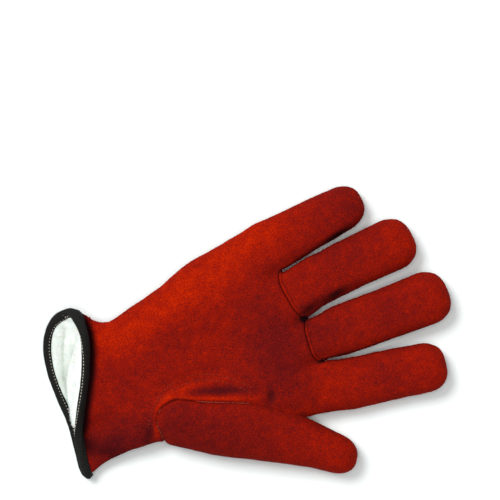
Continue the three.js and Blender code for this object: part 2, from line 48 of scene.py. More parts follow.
mm = 0.001
rng = random.Random(7)

# Thicknesses in mm
leather = 1.4
fleece = 2.0
fleecePressed = 1.0  # under the tape
tapeWidth = 4.4
clearance = 0.4
liningDepth = leather + clearance

# The hand from the wrist to the knuckles, and how square its section is
wristX = -60
knuckleX = 50
handSquareness = 2.6
fingerSquareness = 2.3
handSections = {
    "x": [-60, -48, -24, 0, 28, 50],
    "radialY": [-42.4, -44, -48, -52.5, -58, -61.8],
    "ulnarY": [41.6, 44.4, 50.6, 59, 64, 68.2],
    "sideZ": [13, 13, 13.5, 13.5, 13, 11.5],
    "palmZ": [24, 25.5, 28, 29.5, 28, 24.5],
    "backZ": [4.5, 2.5, 0, -1, -1, -1],
}

# The cuff's rim: the back lies flat and the palm's side folds back like a lapel
rimSections = {
    "share": [-1, -0.6, -0.3, 0.2, 0.6, 1],
    "backX": [-112, -109.5, -108, -109.5, -109.5, -108.5],
    "palmX": [-110, -105, -97.5, -83.5, -75.5, -71.5],
    "palmZ": [14.5, 16, 20.5, 28, 31, 30],
    "fold": [0, 64, 128, 143, 145, 138],
    "leaving": [16, 18, 26, 33, 33, 30],
    "arriving": [16, 14, 25, 33, 36, 36],
}
rimRadial = (-108, -49.3, 7.4)
rimUlnar = (-84, 58, 15)
rimLift = 1.4

# The points where the fingers part, and the fingers
webs = np.array([(51, -61.8), (59, -29.3), (60.6, -0.6), (54.6, 33.6), (49, 68.2)], float)
fingers = [dict(zip(("name", "tip", "root", "base", "end", "height", "dip", "columns"), row)) for row in (
    ("index", (136.6, -58.8), -1.6, 16.9, 15.9, 11, 0, 6),
    ("middle", (153.4, -14.8), -0.5, 16.3, 17.2, 11.3, 3.2, 5),
    ("ring", (143.8, 27.4), 2.1, 16.1, 16.8, 11.5, 3.9, 5),
    ("little", (120.8, 61.2), 0, 17.4, 13.6, 10.2, 0, 6),
)]
fingerForm = {"flattened": 0.8, "tipLength": 15, "tipRaised": 2, "palmSeam": 14, "backSeam": 38}
webOpenings = [0.8, 0.3, 0.8, 1.3, 0.8]  # how far a finger's side stands off its web

# Soft swellings and hollows of the palm: middle, reach along and across, turn in degrees, height
palmSwells = [
    ("thumb pad", -20, -34, 26, 14, 0, 2.5),
    ("heel", -26, 30, 24, 15, 0, 1.5),
    ("hollow of the hand", 5, -2, 30, 20, 0, -3),
    ("valley by the thumb", -22, -13, 24, 6, 0, -3),
    ("index pad", 36, -44, 13, 10, 0, 1.5),
    ("middle pad", 40, -14, 13, 10, 0, 1.5),
    ("ring pad", 38, 16, 13, 11, 0, 1.5),
    ("little pad", 34, 50, 14, 11, 0, 1),
]
webDimple = {"along": 10, "across": 5, "palm": -5.5, "back": 4.5}
gathers = {"columns": 4, "depth": 2.1, "toHand": 20, "toCuff": 0.55}


# Numbers that change smoothly
def mix(a, b, t):
    return a + (b - a) * t


def ramp(at, low, high):
    t = np.clip((np.asarray(at, float) - low) / (high - low), 0, 1)
    return t * t * (3 - 2 * t)


def hill(distance):
    return np.exp(-np.asarray(distance, float) ** 2)


def ridge(distance, height, width, at=0):
    # a rounded ridge, or a furrow, that runs at a distance from a line
    return height * hill((distance - at) / width)


def unit(vectors):
    return vectors / np.linalg.norm(vectors, axis=-1, keepdims=True)


def signedPower(value, exponent):
    return np.sign(value) * np.abs(value) ** exponent


def spread(*values):
    return np.broadcast_arrays(*[np.asarray(value, float) for value in values])


def points(x, y, z):
    return np.stack(spread(x, y, z), axis=-1)


def swellAt(x, y, middleX, middleY, along, across, turn, height):
    c, s = math.cos(math.radians(turn)), math.sin(math.radians(turn))
    u = (x - middleX) * c + (y - middleY) * s
    v = (y - middleY) * c - (x - middleX) * s
    return height * hill(np.hypot(u / along, v / across))


def swellsAt(x, y, rows):
    # one swelling for each row of a table, whose first column is its name
    return [swellAt(x, y, *row[1:]) for row in rows]


def swellsOn(places, rows):
    return swellsAt(places[:, 0], places[:, 1], rows)


def readTable(table, key, column, at):
    # one column of a table at any value of its key, along a smooth curve
    keys = np.array(table[key], float)
    values = np.array(table[column], float)
    before = np.maximum(np.arange(len(keys)) - 1, 0)
    after = np.minimum(np.arange(len(keys)) + 1, len(keys) - 1)
    slopes = (values[after] - values[before]) / (keys[after] - keys[before])
    at = np.asarray(at, float)
    row = np.clip(np.searchsorted(keys, at) - 1, 0, len(keys) - 2)
    step = keys[row + 1] - keys[row]
    s = np.clip((at - keys[row]) / step, 0, 1)
    rise = values[row + 1] - values[row]
    start = slopes[row] * step
    end = slopes[row + 1] * step
    return values[row] + start * s + (3 * rise - 2 * start - end) * s * s + (start + end - 2 * rise) * s ** 3


def handAt(column, x):
    return readTable(handSections, "x", column, x)


def rimAt(column, share):
    return readTable(rimSections, "share", column, share)


def smoothLine(corners, count):
    table = {"corner": range(len(corners)), "x": [c[0] for c in corners], "y": [c[1] for c in corners]}
    at = np.linspace(0, len(corners) - 1, count)
    return np.stack([readTable(table, "corner", axis, at) for axis in "xy"], axis=-1)


# Finger frames, from the middle of the two webs to the tip
for order, finger in enumerate(fingers):
    finger["order"] = order
    finger["first"] = sum(each["columns"] for each in fingers[:order])
    finger["from"] = (webs[order] + webs[order + 1]) / 2 + np.array([0, finger["root"]])
    reach = np.array(finger["tip"], float) - finger["from"]
    finger["length"] = float(np.hypot(*reach))
    finger["forward"] = reach / finger["length"]
    finger["ulnar"] = np.array([-finger["forward"][1], finger["forward"][0]])
allColumns = sum(finger["columns"] for finger in fingers)
columnEdges = np.array([finger["first"] for finger in fingers] + [allColumns], float)
webShares = 2 * (webs[:, 1] - webs[0, 1]) / (webs[-1, 1] - webs[0, 1]) - 1


def placeBetween(edges, value):
    # which finger a value belongs to, and how far across that finger it is
    order = np.clip(np.searchsorted(edges, value, side="right") - 1, 0, 3)
    return order, (value - edges[order]) / (edges[order + 1] - edges[order])


def wristShare(number):
    # how far across the wrist a lengthwise line lies, from -1 at the thumb's side to 1
    return (2 * number / allColumns - 1 - np.cos(np.pi * number / allColumns)) / 2


def knuckleShare(number):
    order, part = placeBetween(columnEdges, number)
    seam = math.radians(fingerForm["palmSeam"])
    low = np.where(order == 0, 0, seam)
    high = np.where(order == 3, np.pi, np.pi - seam)

    def width(angle):
        return -signedPower(np.cos(angle), 2 / fingerSquareness)

    across = (width(mix(low, high, part)) - width(low)) / (width(high) - width(low))
    return mix(webShares[order], webShares[order + 1], across)


def knuckleReach(side, share):
    order, part = placeBetween(webShares, share)
    dips = np.array([finger["dip"] for finger in fingers], float)
    dip = dips[order] * (1 - (2 * part - 1) ** 4) if side == "palm" else 0
    return mix(webs[order, 0], webs[order + 1, 0], part) - knuckleX - dip


def rounding(share):
    height = np.maximum(1 - np.abs(share) ** handSquareness, 0) ** (1 / handSquareness)
    sideways = signedPower(share, 3)
    length = np.hypot(height, sideways)
    return height, sideways / length, height / length


def gatherAt(number, fade):
    return gathers["depth"] * (1 - np.cos(2 * np.pi * number / gathers["columns"])) * fade


def handHeight(side, x, place, y, number, height):
    # the height of the palm's or the back's surface over the resting plane
    sideZ = handAt("sideZ", x)
    dimple = sum(swellAt(place, y, *web, webDimple["along"], webDimple["across"], 0, webDimple[side])
                 for web in webs[1:4])
    if side == "palm":
        crown = handAt("palmZ", x) + sum(swellsAt(place, y, palmSwells)) + dimple
    else:
        crown = handAt("backZ", x) + dimple + gatherAt(number, hill((x - wristX) / gathers["toHand"]))
    return sideZ + (crown - sideZ) * height


def handSurface(side, number, x, depth=0.0):
    # a point between the wrist and the knuckles, at a depth below the leather's outer face
    number, x, depth = spread(number, x, depth)
    share = mix(wristShare(number), knuckleShare(number), ramp(x, wristX, knuckleX - 10))
    y = mix(handAt("radialY", x), handAt("ulnarY", x), (share + 1) / 2)
    height, sideways, upward = rounding(share)
    forward = knuckleReach(side, knuckleShare(number)) * ramp(x, -10, knuckleX)
    z = handHeight(side, x, x + forward, y, number, height)
    if side == "palm":
        z = z - depth * upward
    else:
        z = np.maximum(z + depth * upward, depth)
    return points(x + forward, y - depth * sideways, z)


def cuffSurface(side, number, row, depth=0.0):
    # row 0 is the wrist, 1 the tape's edge and 2 the rim; past 2 it goes on in millimetres
    number, row, depth = spread(number, row, depth)
    share = wristShare(number)
    toUlnar = (share + 1) / 2
    height, sideways, upward = rounding(share)

    def edge(which):
        return np.where(share < 0, rimRadial[which], rimUlnar[which])

    palmSide = side == "palm"
    opened = height ** 1.5 if palmSide else height * 0
    rimX = rimAt("palmX" if palmSide else "backX", share)
    rimZ = rimAt("palmZ", share) if palmSide else rimLift
    rimY = mix(rimRadial[1], rimUlnar[1], toUlnar)
    rim = points(mix(edge(0), rimX, height), rimY, mix(edge(2), rimZ, height))
    wrist = handSurface(side, number, wristX)
    if not palmSide:
        wrist[..., 2] -= gatherAt(number, height)

    # the lengthwise curve leaves the wrist and arrives at the rim, folded over like a lapel
    third = np.linalg.norm(rim - wrist, axis=-1) / 3
    drift = rim[..., 1] - wrist[..., 1]
    leavingY = wrist[..., 1] + drift * mix(-0.15, 0.1, toUlnar)
    arrivingY = rim[..., 1] - drift * mix(1.25, 0.5, toUlnar)
    fold = np.radians(rimAt("fold", share)) * opened
    reach = mix(third, rimAt("arriving", share), opened)
    leave = mix(third, rimAt("leaving", share), opened)
    leaving = points(wrist[..., 0] - leave, leavingY, wrist[..., 2])
    arriving = points(rim[..., 0] + reach * np.cos(fold), arrivingY, rim[..., 2] - reach * np.sin(fold))
    tapeShare = 1 - tapeWidth / (3 * np.linalg.norm(rim - arriving, axis=-1))
    t = np.where(row <= 1, row * tapeShare, mix(tapeShare, 1, np.clip(row - 1, 0, 1)))
    s = t[..., None]
    u = 1 - s
    at = wrist * u ** 3 + leaving * 3 * s * u ** 2 + arriving * 3 * s * s * u + rim * s ** 3
    tangent = (leaving - wrist) * u ** 2 + (arriving - leaving) * 2 * s * u + (rim - arriving) * s * s
    tangent = unit(tangent)
    at = at + tangent * np.maximum(row - 2, 0)[..., None]

    up = unit(points(tangent[..., 2], 0, -tangent[..., 0]))
    if not palmSide:
        up = -up
        at[..., 2] += gatherAt(number, height * hill(t / gathers["toCuff"]))
    flare = np.arctan2(mix(leavingY - wrist[..., 1], rim[..., 1] - arrivingY, t), third)
    at = at - up * (depth * upward)[..., None]
    at = at - points(np.sin(flare), np.cos(flare), 0) * (depth * sideways)[..., None]
    if not palmSide:
        at[..., 2] = np.maximum(at[..., 2], rimLift * ramp(t, 0, 1) + depth)
    return at


def tube(finger, share, tip, angle, start, hold, depth):
    # a finger's round section, blended from the knuckle line it leaves
    tipLength = min(fingerForm["tipLength"], finger["length"] / 3)
    reach = share * (finger["length"] - tipLength) + (tipLength - depth) * np.sin(tip)
    part = reach / finger["length"]
    narrow = np.cos(tip * 0.95) ** 0.8
    flat = np.maximum(np.cos(tip), 0) ** 0.85
    height = finger["height"] - depth
    middleZ = finger["height"] - fingerForm["flattened"] + fingerForm["tipRaised"] * ramp(part, 0.5, 1)
    across = -signedPower(np.cos(angle), 2 / fingerSquareness)
    upward = signedPower(np.sin(angle), 2 / fingerSquareness)
    half = (mix(finger["base"], finger["end"], part) - depth) * narrow
    forward, ulnar = finger["forward"], finger["ulnar"]
    x = finger["from"][0] + forward[0] * reach + ulnar[0] * across * half
    y = finger["from"][1] + forward[1] * reach + ulnar[1] * across * half
    z = np.maximum(middleZ + upward * height * flat, np.minimum(depth, middleZ))
    opened = ramp(reach, 0, 3)
    opening = np.where(across < 0, webOpenings[finger["order"]], webOpenings[finger["order"] + 1])
    aside = -np.sign(across) * hold * opened * (opening + depth)
    leaving = start + points(forward[0] * reach + ulnar[0] * aside + hold * opened * depth,
                             forward[1] * reach + ulnar[1] * aside, 0)
    blend = ramp(part, 0, 0.24)[..., None]
    return leaving * (1 - blend) + points(x, y, z) * blend


def seamAngle(side, share, tip):
    angle = math.radians(fingerForm[side + "Seam"])
    return angle * (1 - 0.65 * ramp(share, 0.4, 1)) * (1 - ramp(tip, 0, math.radians(52)))


def fingerSurface(finger, side, part, share, tip, depth=0.0):
    part, share, tip, depth = spread(part, share, tip, depth)
    start = handSurface(side, finger["first"] + part * finger["columns"], knuckleX, depth)
    seam = seamAngle(side, share, tip)
    angle = mix(seam * (finger["order"] > 0), np.pi - seam * (finger["order"] < 3), part)
    outer = {0: part < 0.5, 3: part > 0.5}.get(finger["order"], part < 0)
    hold = np.where(outer, 0, np.abs(2 * part - 1) ** 5)
    return tube(finger, share, tip, angle if side == "palm" else 2 * np.pi - angle, start, hold, depth)


# Objects and meshes
def addObject(name, data):
    obj = bpy.data.objects.new(name, data)
    bpy.context.collection.objects.link(obj)
    return obj


def editMesh(mesh, change):
    bm = bmesh.new()
    bm.from_mesh(mesh)
    bm.verts.ensure_lookup_table()
    change(bm)
    bm.to_mesh(mesh)
    bm.free()


def addMesh(name, verts, faces, change=None):
    mesh = bpy.data.meshes.new(name)
    mesh.from_pydata(verts, [], faces)
    if change:
        editMesh(mesh, change)
    return addObject(name, mesh)


def addSurface(name, grids, turned):
    # one sheet from grids of points, welded where they meet
    verts, faces = [], []
    for grid in grids:
        rows, columns = grid.shape[:2]
        for r in range(rows - 1):
            for c in range(columns - 1):
                a = len(verts) + r * columns + c
                quad = (a, a + 1, a + columns + 1, a + columns)
                faces.append(quad[::-1] if turned else quad)
        verts.extend((grid.reshape(-1, 3) * mm).tolist())

    def weld(bm):
        bmesh.ops.remove_doubles(bm, verts=bm.verts, dist=0.012 * mm)
        bmesh.ops.dissolve_degenerate(bm, edges=bm.edges, dist=0.005 * mm)

    return addMesh(name, verts, faces, weld)


def removePoints(obj, chosen):
    def remove(bm):
        bmesh.ops.delete(bm, geom=[bm.verts[k] for k in np.nonzero(chosen)[0]], context="VERTS")

    editMesh(obj.data, remove)


def selectOnly(*objects):
    bpy.ops.object.select_all(action="DESELECT")
    for obj in objects:
        obj.select_set(True)
    bpy.context.view_layer.objects.active = objects[0]


def thicken(obj, thickness=leather):
    # a sheet grows inwards from its outer face
    selectOnly(obj)
    modifier = obj.modifiers.new("thickness", "SOLIDIFY")
    modifier.thickness = thickness * mm
    modifier.offset = -1
    modifier.use_rim = True
    modifier.use_quality_normals = True
    bpy.ops.object.modifier_apply(modifier=modifier.name)
    obj.select_set(False)


def treeOf(obj):
    return BVHTree.FromPolygons([v.co.copy() for v in obj.data.vertices],
                                [tuple(p.vertices) for p in obj.data.polygons])


def readPoints(obj, kind):
    flat = np.empty(len(obj.data.vertices) * 3, np.float32)
    obj.data.vertices.foreach_get(kind, flat)
    return flat.reshape(-1, 3).astype(float)


def coordinates(obj):
    return readPoints(obj, "co") / mm


def moveTo(obj, places):
    obj.data.vertices.foreach_set("co", (places * mm).astype(np.float32).ravel())
    obj.data.update()


def raiseSurface(obj, heights):
    # moves each point along its normal, by millimetres
    moveTo(obj, coordinates(obj) + readPoints(obj, "normal") * np.asarray(heights)[:, None])


def borderLoops(obj):
    # the open edges in order: each point, and how far along its loop it is in mm
    bm = bmesh.new()
    bm.from_mesh(obj.data)
    left = {edge.index: edge for edge in bm.edges if edge.is_boundary}
    places, lengths = [], []
    while left:
        _, edge = left.popitem()
        start = vert = edge.verts[0]
        length = 0.0
        while edge:
            places.append(tuple(vert.co / mm))
            lengths.append(length)
            length += edge.calc_length() / mm
            vert = edge.other_vert(vert)
            following = [each.index for each in vert.link_edges if each.index in left]
            edge = left.pop(following[0]) if following and vert is not start else None
    bm.free()
    return np.array(places), np.array(lengths)


def nearestOn(line, places):
    # for each place, how far the nearest point of a line is, and which point that is
    tree = kdtree.KDTree(len(line))
    for k, point in enumerate(line):
        tree.insert(point, k)
    tree.balance()
    found = [tree.find(place) for place in places]
    return np.array([gap for _, _, gap in found]), np.array([index for _, index, _ in found])


def softness(places, layers):
    # slow unevenness of soft leather: each layer is a size and a height in mm
    total = np.zeros(len(places))
    for size, height in layers:
        total += [noise.noise(Vector(place) / size) * height for place in places]
    return total


def paint(obj, name, values):
    layer = obj.data.attributes.new(name, "FLOAT", "POINT")
    layer.data.foreach_set("value", np.full(len(obj.data.vertices), values, np.float32))


def finishPiece(obj, node, material):
    for polygon in obj.data.polygons:
        polygon.use_smooth = True
    obj.data.materials.clear()
    obj.data.materials.append(material)
    if node:
        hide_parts(node)
    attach(obj, "root")
    print("made", obj.name, sum(len(p.vertices) - 2 for p in obj.data.polygons), "triangles")


# Materials. Sizes of noise and heights of bumps are in mm.
def hexColour(value):
    channels = [int(value[k:k + 2], 16) / 255 for k in (1, 3, 5)]
    return [c / 12.92 if c <= 0.04045 else ((c + 0.055) / 1.055) ** 2.4 for c in channels] + [1]


def addNode(tree, kind, settings=None, links=None):
    # a setting is the node's own value, an input's value, or the stops of its colour ramp
    node = tree.nodes.new(kind)
    for key, value in (settings or {}).items():
        if key == "stops":
            elements = node.color_ramp.elements
            while len(elements) > 1:
                elements.remove(elements[-1])
            elements[0].position = value[0][0]
            elements[0].color = hexColour(value[0][1])
            for at, colour in value[1:]:
                elements.new(at).color = hexColour(colour)
        elif isinstance(key, str) and hasattr(node, key):
            setattr(node, key, value)
        else:
            node.inputs[key].default_value = value
    for key, source in (links or {}).items():
        tree.links.new(source, node.inputs[key])
    return node


def newMaterial(name):
    material = bpy.data.materials.new(name)
    material.use_nodes = True
    material.node_tree.nodes.clear()
    return material, material.node_tree


# Split cowhide, dyed red and brushed to a nap: no gloss, a fine speckle where the nap stands or
# lies, and slow patches where a hand has stroked it. The nap is 0.4 mm, drawn at 0.65 mm to show.
# Tones run from dark to bright: from nap that lies flat, and painted shade, to nap that stands, and
# painted light. The seam colour is also the colour of painted shade.
suedeLook = {
    "tones": [(0.0, "#470C0F"), (0.27, "#641010"), (0.5, "#801309"), (0.78, "#A21802"), (1.0, "#C02800")],
    "seam": "#15060A", "cloudRoughness": 0.58,
    "clouds": {"nap": (0.65, 1.8, 3.0), "patch": (6, 0.5, 3.0), "stroke": (30, 0.2, 1.0)},
    "bumps": {"nap": (0.45, 2.0, 0.4, 0.6), "patch": (6, 3.0, 0.3, 1.2)},
    "shader": {"Roughness": 0.95, "Specular IOR Level": 0.04, "Sheen Weight": 0.06, "Sheen Roughness": 0.5,
               "Sheen Tint": hexColour("#D8400F")},
}


def suedeMaterial(name, look):
    # a cloud has a size, its part in the tone and its detail; a bump a size, detail, strength, height
    material, tree = newMaterial(name)
    where = addNode(tree, "ShaderNodeTexCoord").outputs["Object"]
    # the painted tone: the nap, with painted light and shade
    tone = addNode(tree, "ShaderNodeAttribute", {"attribute_name": "napTone"}).outputs["Fac"]
    shift = -0.5 * sum(part for _, part, _ in look["clouds"].values())
    tone = addNode(tree, "ShaderNodeMath", {"operation": "ADD", 1: shift}, {0: tone}).outputs[0]
    for size, part, detail in look["clouds"].values():
        settings = {"Scale": 1 / (size * mm), "Detail": detail, "Roughness": look["cloudRoughness"]}
        cloud = addNode(tree, "ShaderNodeTexNoise", settings, {"Vector": where}).outputs["Fac"]
        settings = {"operation": "MULTIPLY_ADD", 1: part}
        tone = addNode(tree, "ShaderNodeMath", settings, {0: cloud, 2: tone}).outputs[0]
    colour = addNode(tree, "ShaderNodeValToRGB", {"stops": look["tones"]}, {"Fac": tone}).outputs["Color"]
    # dark at the seams, and painted shade between the fingers, along their shaded edges, under the lapel, in
    # the pleats and at the cuff's low corner
    seam = addNode(tree, "ShaderNodeAttribute", {"attribute_name": "seamShade"}).outputs["Fac"]
    settings = {"data_type": "RGBA", 7: hexColour(look["seam"])}
    colour = addNode(tree, "ShaderNodeMix", settings, {0: seam, 6: colour}).outputs[2]
    links = {}
    for size, detail, strength, height in look["bumps"].values():
        settings = {"Scale": 1 / (size * mm), "Detail": detail}
        links["Height"] = addNode(tree, "ShaderNodeTexNoise", settings, {"Vector": where}).outputs["Fac"]
        settings = {"Strength": strength, "Distance": height * mm}
        links["Normal"] = addNode(tree, "ShaderNodeBump", settings, links).outputs["Normal"]
    links = {"Base Color": colour, "Normal": links["Normal"]}
    shader = addNode(tree, "ShaderNodeBsdfPrincipled", look["shader"], links)
    addNode(tree, "ShaderNodeOutputMaterial", {}, {"Surface": shader.outputs[0]})
    return material


# Brushed polyester fleece: a matt white pile 2 mm long, a little greenish where it lies in shade,
# pressed into 3 mm tufts.
fleeceLook = {
    "tones": [(0.35, "#EEF1EA"), (0.6, "#FBFCF9")], "fold": "#B9C4B8",
    "tuftSize": 3.0, "pileSize": 0.8, "pileBump": 0.5, "pileHeight": 0.8,
    "shader": {"Roughness": 1.0, "Specular IOR Level": 0.1, "Sheen Weight": 0.4, "Sheen Roughness": 0.6,
               "Subsurface Weight": 0.15, "Subsurface Scale": 0.003},
}


def fleeceMaterial(name, look):
    material, tree = newMaterial(name)
    where = addNode(tree, "ShaderNodeTexCoord").outputs["Object"]
    settings = {"Scale": 1 / (look["tuftSize"] * mm), "Detail": 4.0}
    tuft = addNode(tree, "ShaderNodeTexNoise", settings, {"Vector": where}).outputs["Fac"]
    colour = addNode(tree, "ShaderNodeValToRGB", {"stops": look["tones"]}, {"Fac": tuft}).outputs["Color"]
    # tinted towards the fold colour where shade is painted: the crease, the lining on the back and one
    # hollow
    folded = addNode(tree, "ShaderNodeAttribute", {"attribute_name": "foldShade"}).outputs["Fac"]
    settings = {"data_type": "RGBA", 7: hexColour(look["fold"])}
    colour = addNode(tree, "ShaderNodeMix", settings, {0: folded, 6: colour}).outputs[2]
    settings = {"Scale": 1 / (look["pileSize"] * mm), "Detail": 3.0}
    pile = addNode(tree, "ShaderNodeTexNoise", settings, {"Vector": where}).outputs["Fac"]
    settings = {"Strength": look["pileBump"], "Distance": look["pileHeight"] * mm}
    fluff = addNode(tree, "ShaderNodeBump", settings, {"Height": pile}).outputs["Normal"]
    links = {"Base Color": colour, "Normal": fluff}
    shader = addNode(tree, "ShaderNodeBsdfPrincipled", look["shader"], links)
    addNode(tree, "ShaderNodeOutputMaterial", {}, {"Surface": shader.outputs[0]})
    return material


# Woven cotton binding tape, dyed black: dull, with ribs 0.5 mm apart across it, drawn at 0.9 mm.
tapeLook = {
    "tones": [(0.35, "#0B0B0A"), (0.7, "#21201E")], "ribSize": 0.9, "ribBump": 0.5,
    "lintSize": 0.7, "lintBump": 0.4, "height": 0.3,
    "shader": {"Roughness": 0.85, "Specular IOR Level": 0.2},
}


def tapeMaterial(name, look):
    material, tree = newMaterial(name)
    where = addNode(tree, "ShaderNodeTexCoord").outputs["Object"]
    run = addNode(tree, "ShaderNodeAttribute", {"attribute_name": "tapeRun"}).outputs["Fac"]
    settings = {"operation": "MULTIPLY", 1: 2 * math.pi / look["ribSize"]}
    turns = addNode(tree, "ShaderNodeMath", settings, {0: run}).outputs[0]
    wave = addNode(tree, "ShaderNodeMath", {"operation": "SINE"}, {0: turns}).outputs[0]
    settings = {"operation": "MULTIPLY_ADD", 1: 0.5, 2: 0.5}
    ribs = addNode(tree, "ShaderNodeMath", settings, {0: wave}).outputs[0]
    settings = {"Scale": 1 / (look["lintSize"] * mm), "Detail": 3.0}
    lint = addNode(tree, "ShaderNodeTexNoise", settings, {"Vector": where}).outputs["Fac"]
    colour = addNode(tree, "ShaderNodeValToRGB", {"stops": look["tones"]}, {"Fac": lint}).outputs["Color"]
    settings = {"Strength": look["ribBump"], "Distance": look["height"] * mm}
    weave = addNode(tree, "ShaderNodeBump", settings, {"Height": ribs}).outputs["Normal"]
    settings = {"Strength": look["lintBump"], "Distance": look["height"] * mm}
    grain = addNode(tree, "ShaderNodeBump", settings, {"Height": lint, "Normal": weave}).outputs["Normal"]
    links = {"Base Color": colour, "Normal": grain}
    shader = addNode(tree, "ShaderNodeBsdfPrincipled", look["shader"], links)
    addNode(tree, "ShaderNodeOutputMaterial", {}, {"Surface": shader.outputs[0]})
    return material


# Spun polyester sewing thread, a two-ply twist with a faint gloss
threadLook = {
    "wearSize": 1.4, "twistSize": 0.3, "twistBump": 0.4, "twistHeight": 0.1,
    "shader": {"Roughness": 0.8, "Specular IOR Level": 0.12},
}


def threadMaterial(name, look, light, dark):
    material, tree = newMaterial(name)
    where = addNode(tree, "ShaderNodeTexCoord").outputs["Object"]
    settings = {"Scale": 1 / (look["wearSize"] * mm), "Detail": 2.0}
    wear = addNode(tree, "ShaderNodeTexNoise", settings, {"Vector": where}).outputs["Fac"]
    stops = [(0.35, dark), (0.65, light)]
    colour = addNode(tree, "ShaderNodeValToRGB", {"stops": stops}, {"Fac": wear}).outputs["Color"]
    settings = {"Scale": 1 / (look["twistSize"] * mm)}
    twist = addNode(tree, "ShaderNodeTexNoise", settings, {"Vector": where}).outputs["Fac"]
    settings = {"Strength": look["twistBump"], "Distance": look["twistHeight"] * mm}
    plies = addNode(tree, "ShaderNodeBump", settings, {"Height": twist}).outputs["Normal"]
    links = {"Base Color": colour, "Normal": plies}
    shader = addNode(tree, "ShaderNodeBsdfPrincipled", look["shader"], links)
    addNode(tree, "ShaderNodeOutputMaterial", {}, {"Surface": shader.outputs[0]})
    return material


redSuede = suedeMaterial("redSuede", suedeLook)
whiteFleece = fleeceMaterial("whiteFleece", fleeceLook)
blackTape = tapeMaterial("blackTape", tapeLook)
paleThread = threadMaterial("paleThread", threadLook, "#DAD6C8", "#A29F90")
blackThread = threadMaterial("blackThread", threadLook, "#2A2826", "#151413")
redThread = threadMaterial("redThread", threadLook, "#A83C26", "#5E1A12")
rawEdge = threadMaterial("rawLeatherEdge", threadLook, "#B0503C", "#74281E")
print("stage: materials")

# Grid lines. The outer sides are closer together, where the leather turns to the back.
meshing = {"rowStep": 1.15, "outerColumns": 46, "innerColumns": 38, "tipRows": 16}


def partsOf(finger):
    outer = np.linspace(0, 1, meshing["outerColumns"]) ** 1.5
    return {0: outer, 3: 1 - outer[::-1]}.get(finger["order"], np.linspace(0, 1, meshing["innerColumns"]))


handNumbers = np.unique(np.round(np.concatenate(
    [finger["first"] + partsOf(finger) * finger["columns"] for finger in fingers]), 6))
handRows = np.linspace(wristX, knuckleX, int((knuckleX - wristX) / meshing["rowStep"]))
handRows = np.insert(handRows, -1, [knuckleX - 0.7, knuckleX - 0.35])
cuffRows = np.concatenate([[2, 1.6, 1.2], np.linspace(1, 0, 48)])
fingerShares = np.concatenate([np.linspace(0, 0.06, 16), np.linspace(0.06, 1, 66)[1:]])
tipTurns = np.radians(np.linspace(0, 90, meshing["tipRows"]))[1:]
fingerRows = [(share, 0) for share in fingerShares] + [(1, turn) for turn in tipTurns]


def handGrid(side, depth=0.0, lastX=knuckleX):
    rows = handRows[handRows <= lastX + 0.01]
    split = len(cuffRows) - 1
    depths = np.broadcast_to(depth, (split + len(rows), 1))
    cuff = cuffSurface(side, handNumbers, cuffRows[:-1, None], depths[:split])
    return np.concatenate([cuff, handSurface(side, handNumbers, rows[:, None], depths[split:])])


def fingerGrid(finger, side):
    share, turn = np.array(fingerRows).T[..., None]
    return fingerSurface(finger, side, partsOf(finger), share, turn)


# The thumb: sections along its own axis, and the seam line where it meets the palm
thumbAngle = math.radians(31.5)
thumbForward = np.array([math.cos(thumbAngle), -math.sin(thumbAngle), 0])
thumbInward = np.array([math.sin(thumbAngle), math.cos(thumbAngle), 0])
thumbSections = {
    "along": [-30, -28.5, -26, -22.5, -18, -4, 12, 32, 54, 74, 88, 102.4],
    "across": [-51, -51, -51, -51, -51, -49.6, -48.4, -46.4, -46.6, -48.4, -50.2, -51.6],
    "z": [21, 20.9, 20.6, 20.3, 20, 19.4, 18.8, 17.4, 15.4, 13.4, 12.4, 11.6],
    "halfWidth": [4, 8, 11.1, 14.4, 16.4, 17.6, 19.2, 19.2, 17, 14.6, 13, 12.4],
    "halfHeight": [2.5, 4, 5.4, 7.2, 9, 11, 12.5, 13.2, 12.8, 12, 11, 10.4],
    "roll": [30, 30, 30, 30, 28, 25, 22, 17, 10, 4, 2, 0],
}
thumbBase = -30
thumbTipFrom = 88
thumbTipLength = 14.4
thumbFloor = 0.4


def thumbAt(column, along):
    return readTable(thumbSections, "along", column, along)


def thumbFrame(along):
    roll = np.radians(thumbAt("roll", along))[..., None]
    lateral = thumbInward * np.cos(roll) + np.array([0, 0, 1]) * np.sin(roll)
    upward = -thumbInward * np.sin(roll) + np.array([0, 0, 1]) * np.cos(roll)
    centre = thumbForward * np.asarray(along)[..., None] + thumbInward * thumbAt("across", along)[..., None]
    centre[..., 2] = thumbAt("z", along)
    return centre, lateral, upward


def thumbSurface(along, angle, turn=0.0):
    along, angle, turn = spread(along, angle, turn)
    place = along + thumbTipLength * np.sin(turn)
    centre, lateral, upward = thumbFrame(place)
    narrow = np.cos(turn * 0.95) ** 0.9
    width = thumbAt("halfWidth", place) * narrow
    height = thumbAt("halfHeight", place) * narrow
    at = centre + lateral * (signedPower(np.cos(angle), 2 / fingerSquareness) * width)[..., None]
    at = at + upward * (signedPower(np.sin(angle), 2 / fingerSquareness) * height)[..., None]
    at[..., 2] = np.maximum(at[..., 2], thumbFloor)
    return at


def thumbNearness(places):
    # below 1 inside the thumb's form, above 1 outside it
    along = places @ thumbForward
    centre, lateral, upward = thumbFrame(along)
    off = places - centre
    u = np.abs(np.sum(off * lateral, axis=-1)) / thumbAt("halfWidth", along)
    v = np.abs(np.sum(off * upward, axis=-1)) / thumbAt("halfHeight", along)
    near = (u ** fingerSquareness + v ** fingerSquareness) ** (1 / fingerSquareness)
    return np.where(along < thumbBase, 1 + (thumbBase - along) / 8, near)


def skinHeight(side, x, y):
    # the palm's or the back's surface over a place, and its share of the hand's width there
    radialY, ulnarY = handAt("radialY", x), handAt("ulnarY", x)
    share = 2 * (y - radialY) / (ulnarY - radialY) - 1
    return handHeight(side, x, x, y, 0, rounding(share)[0]), share


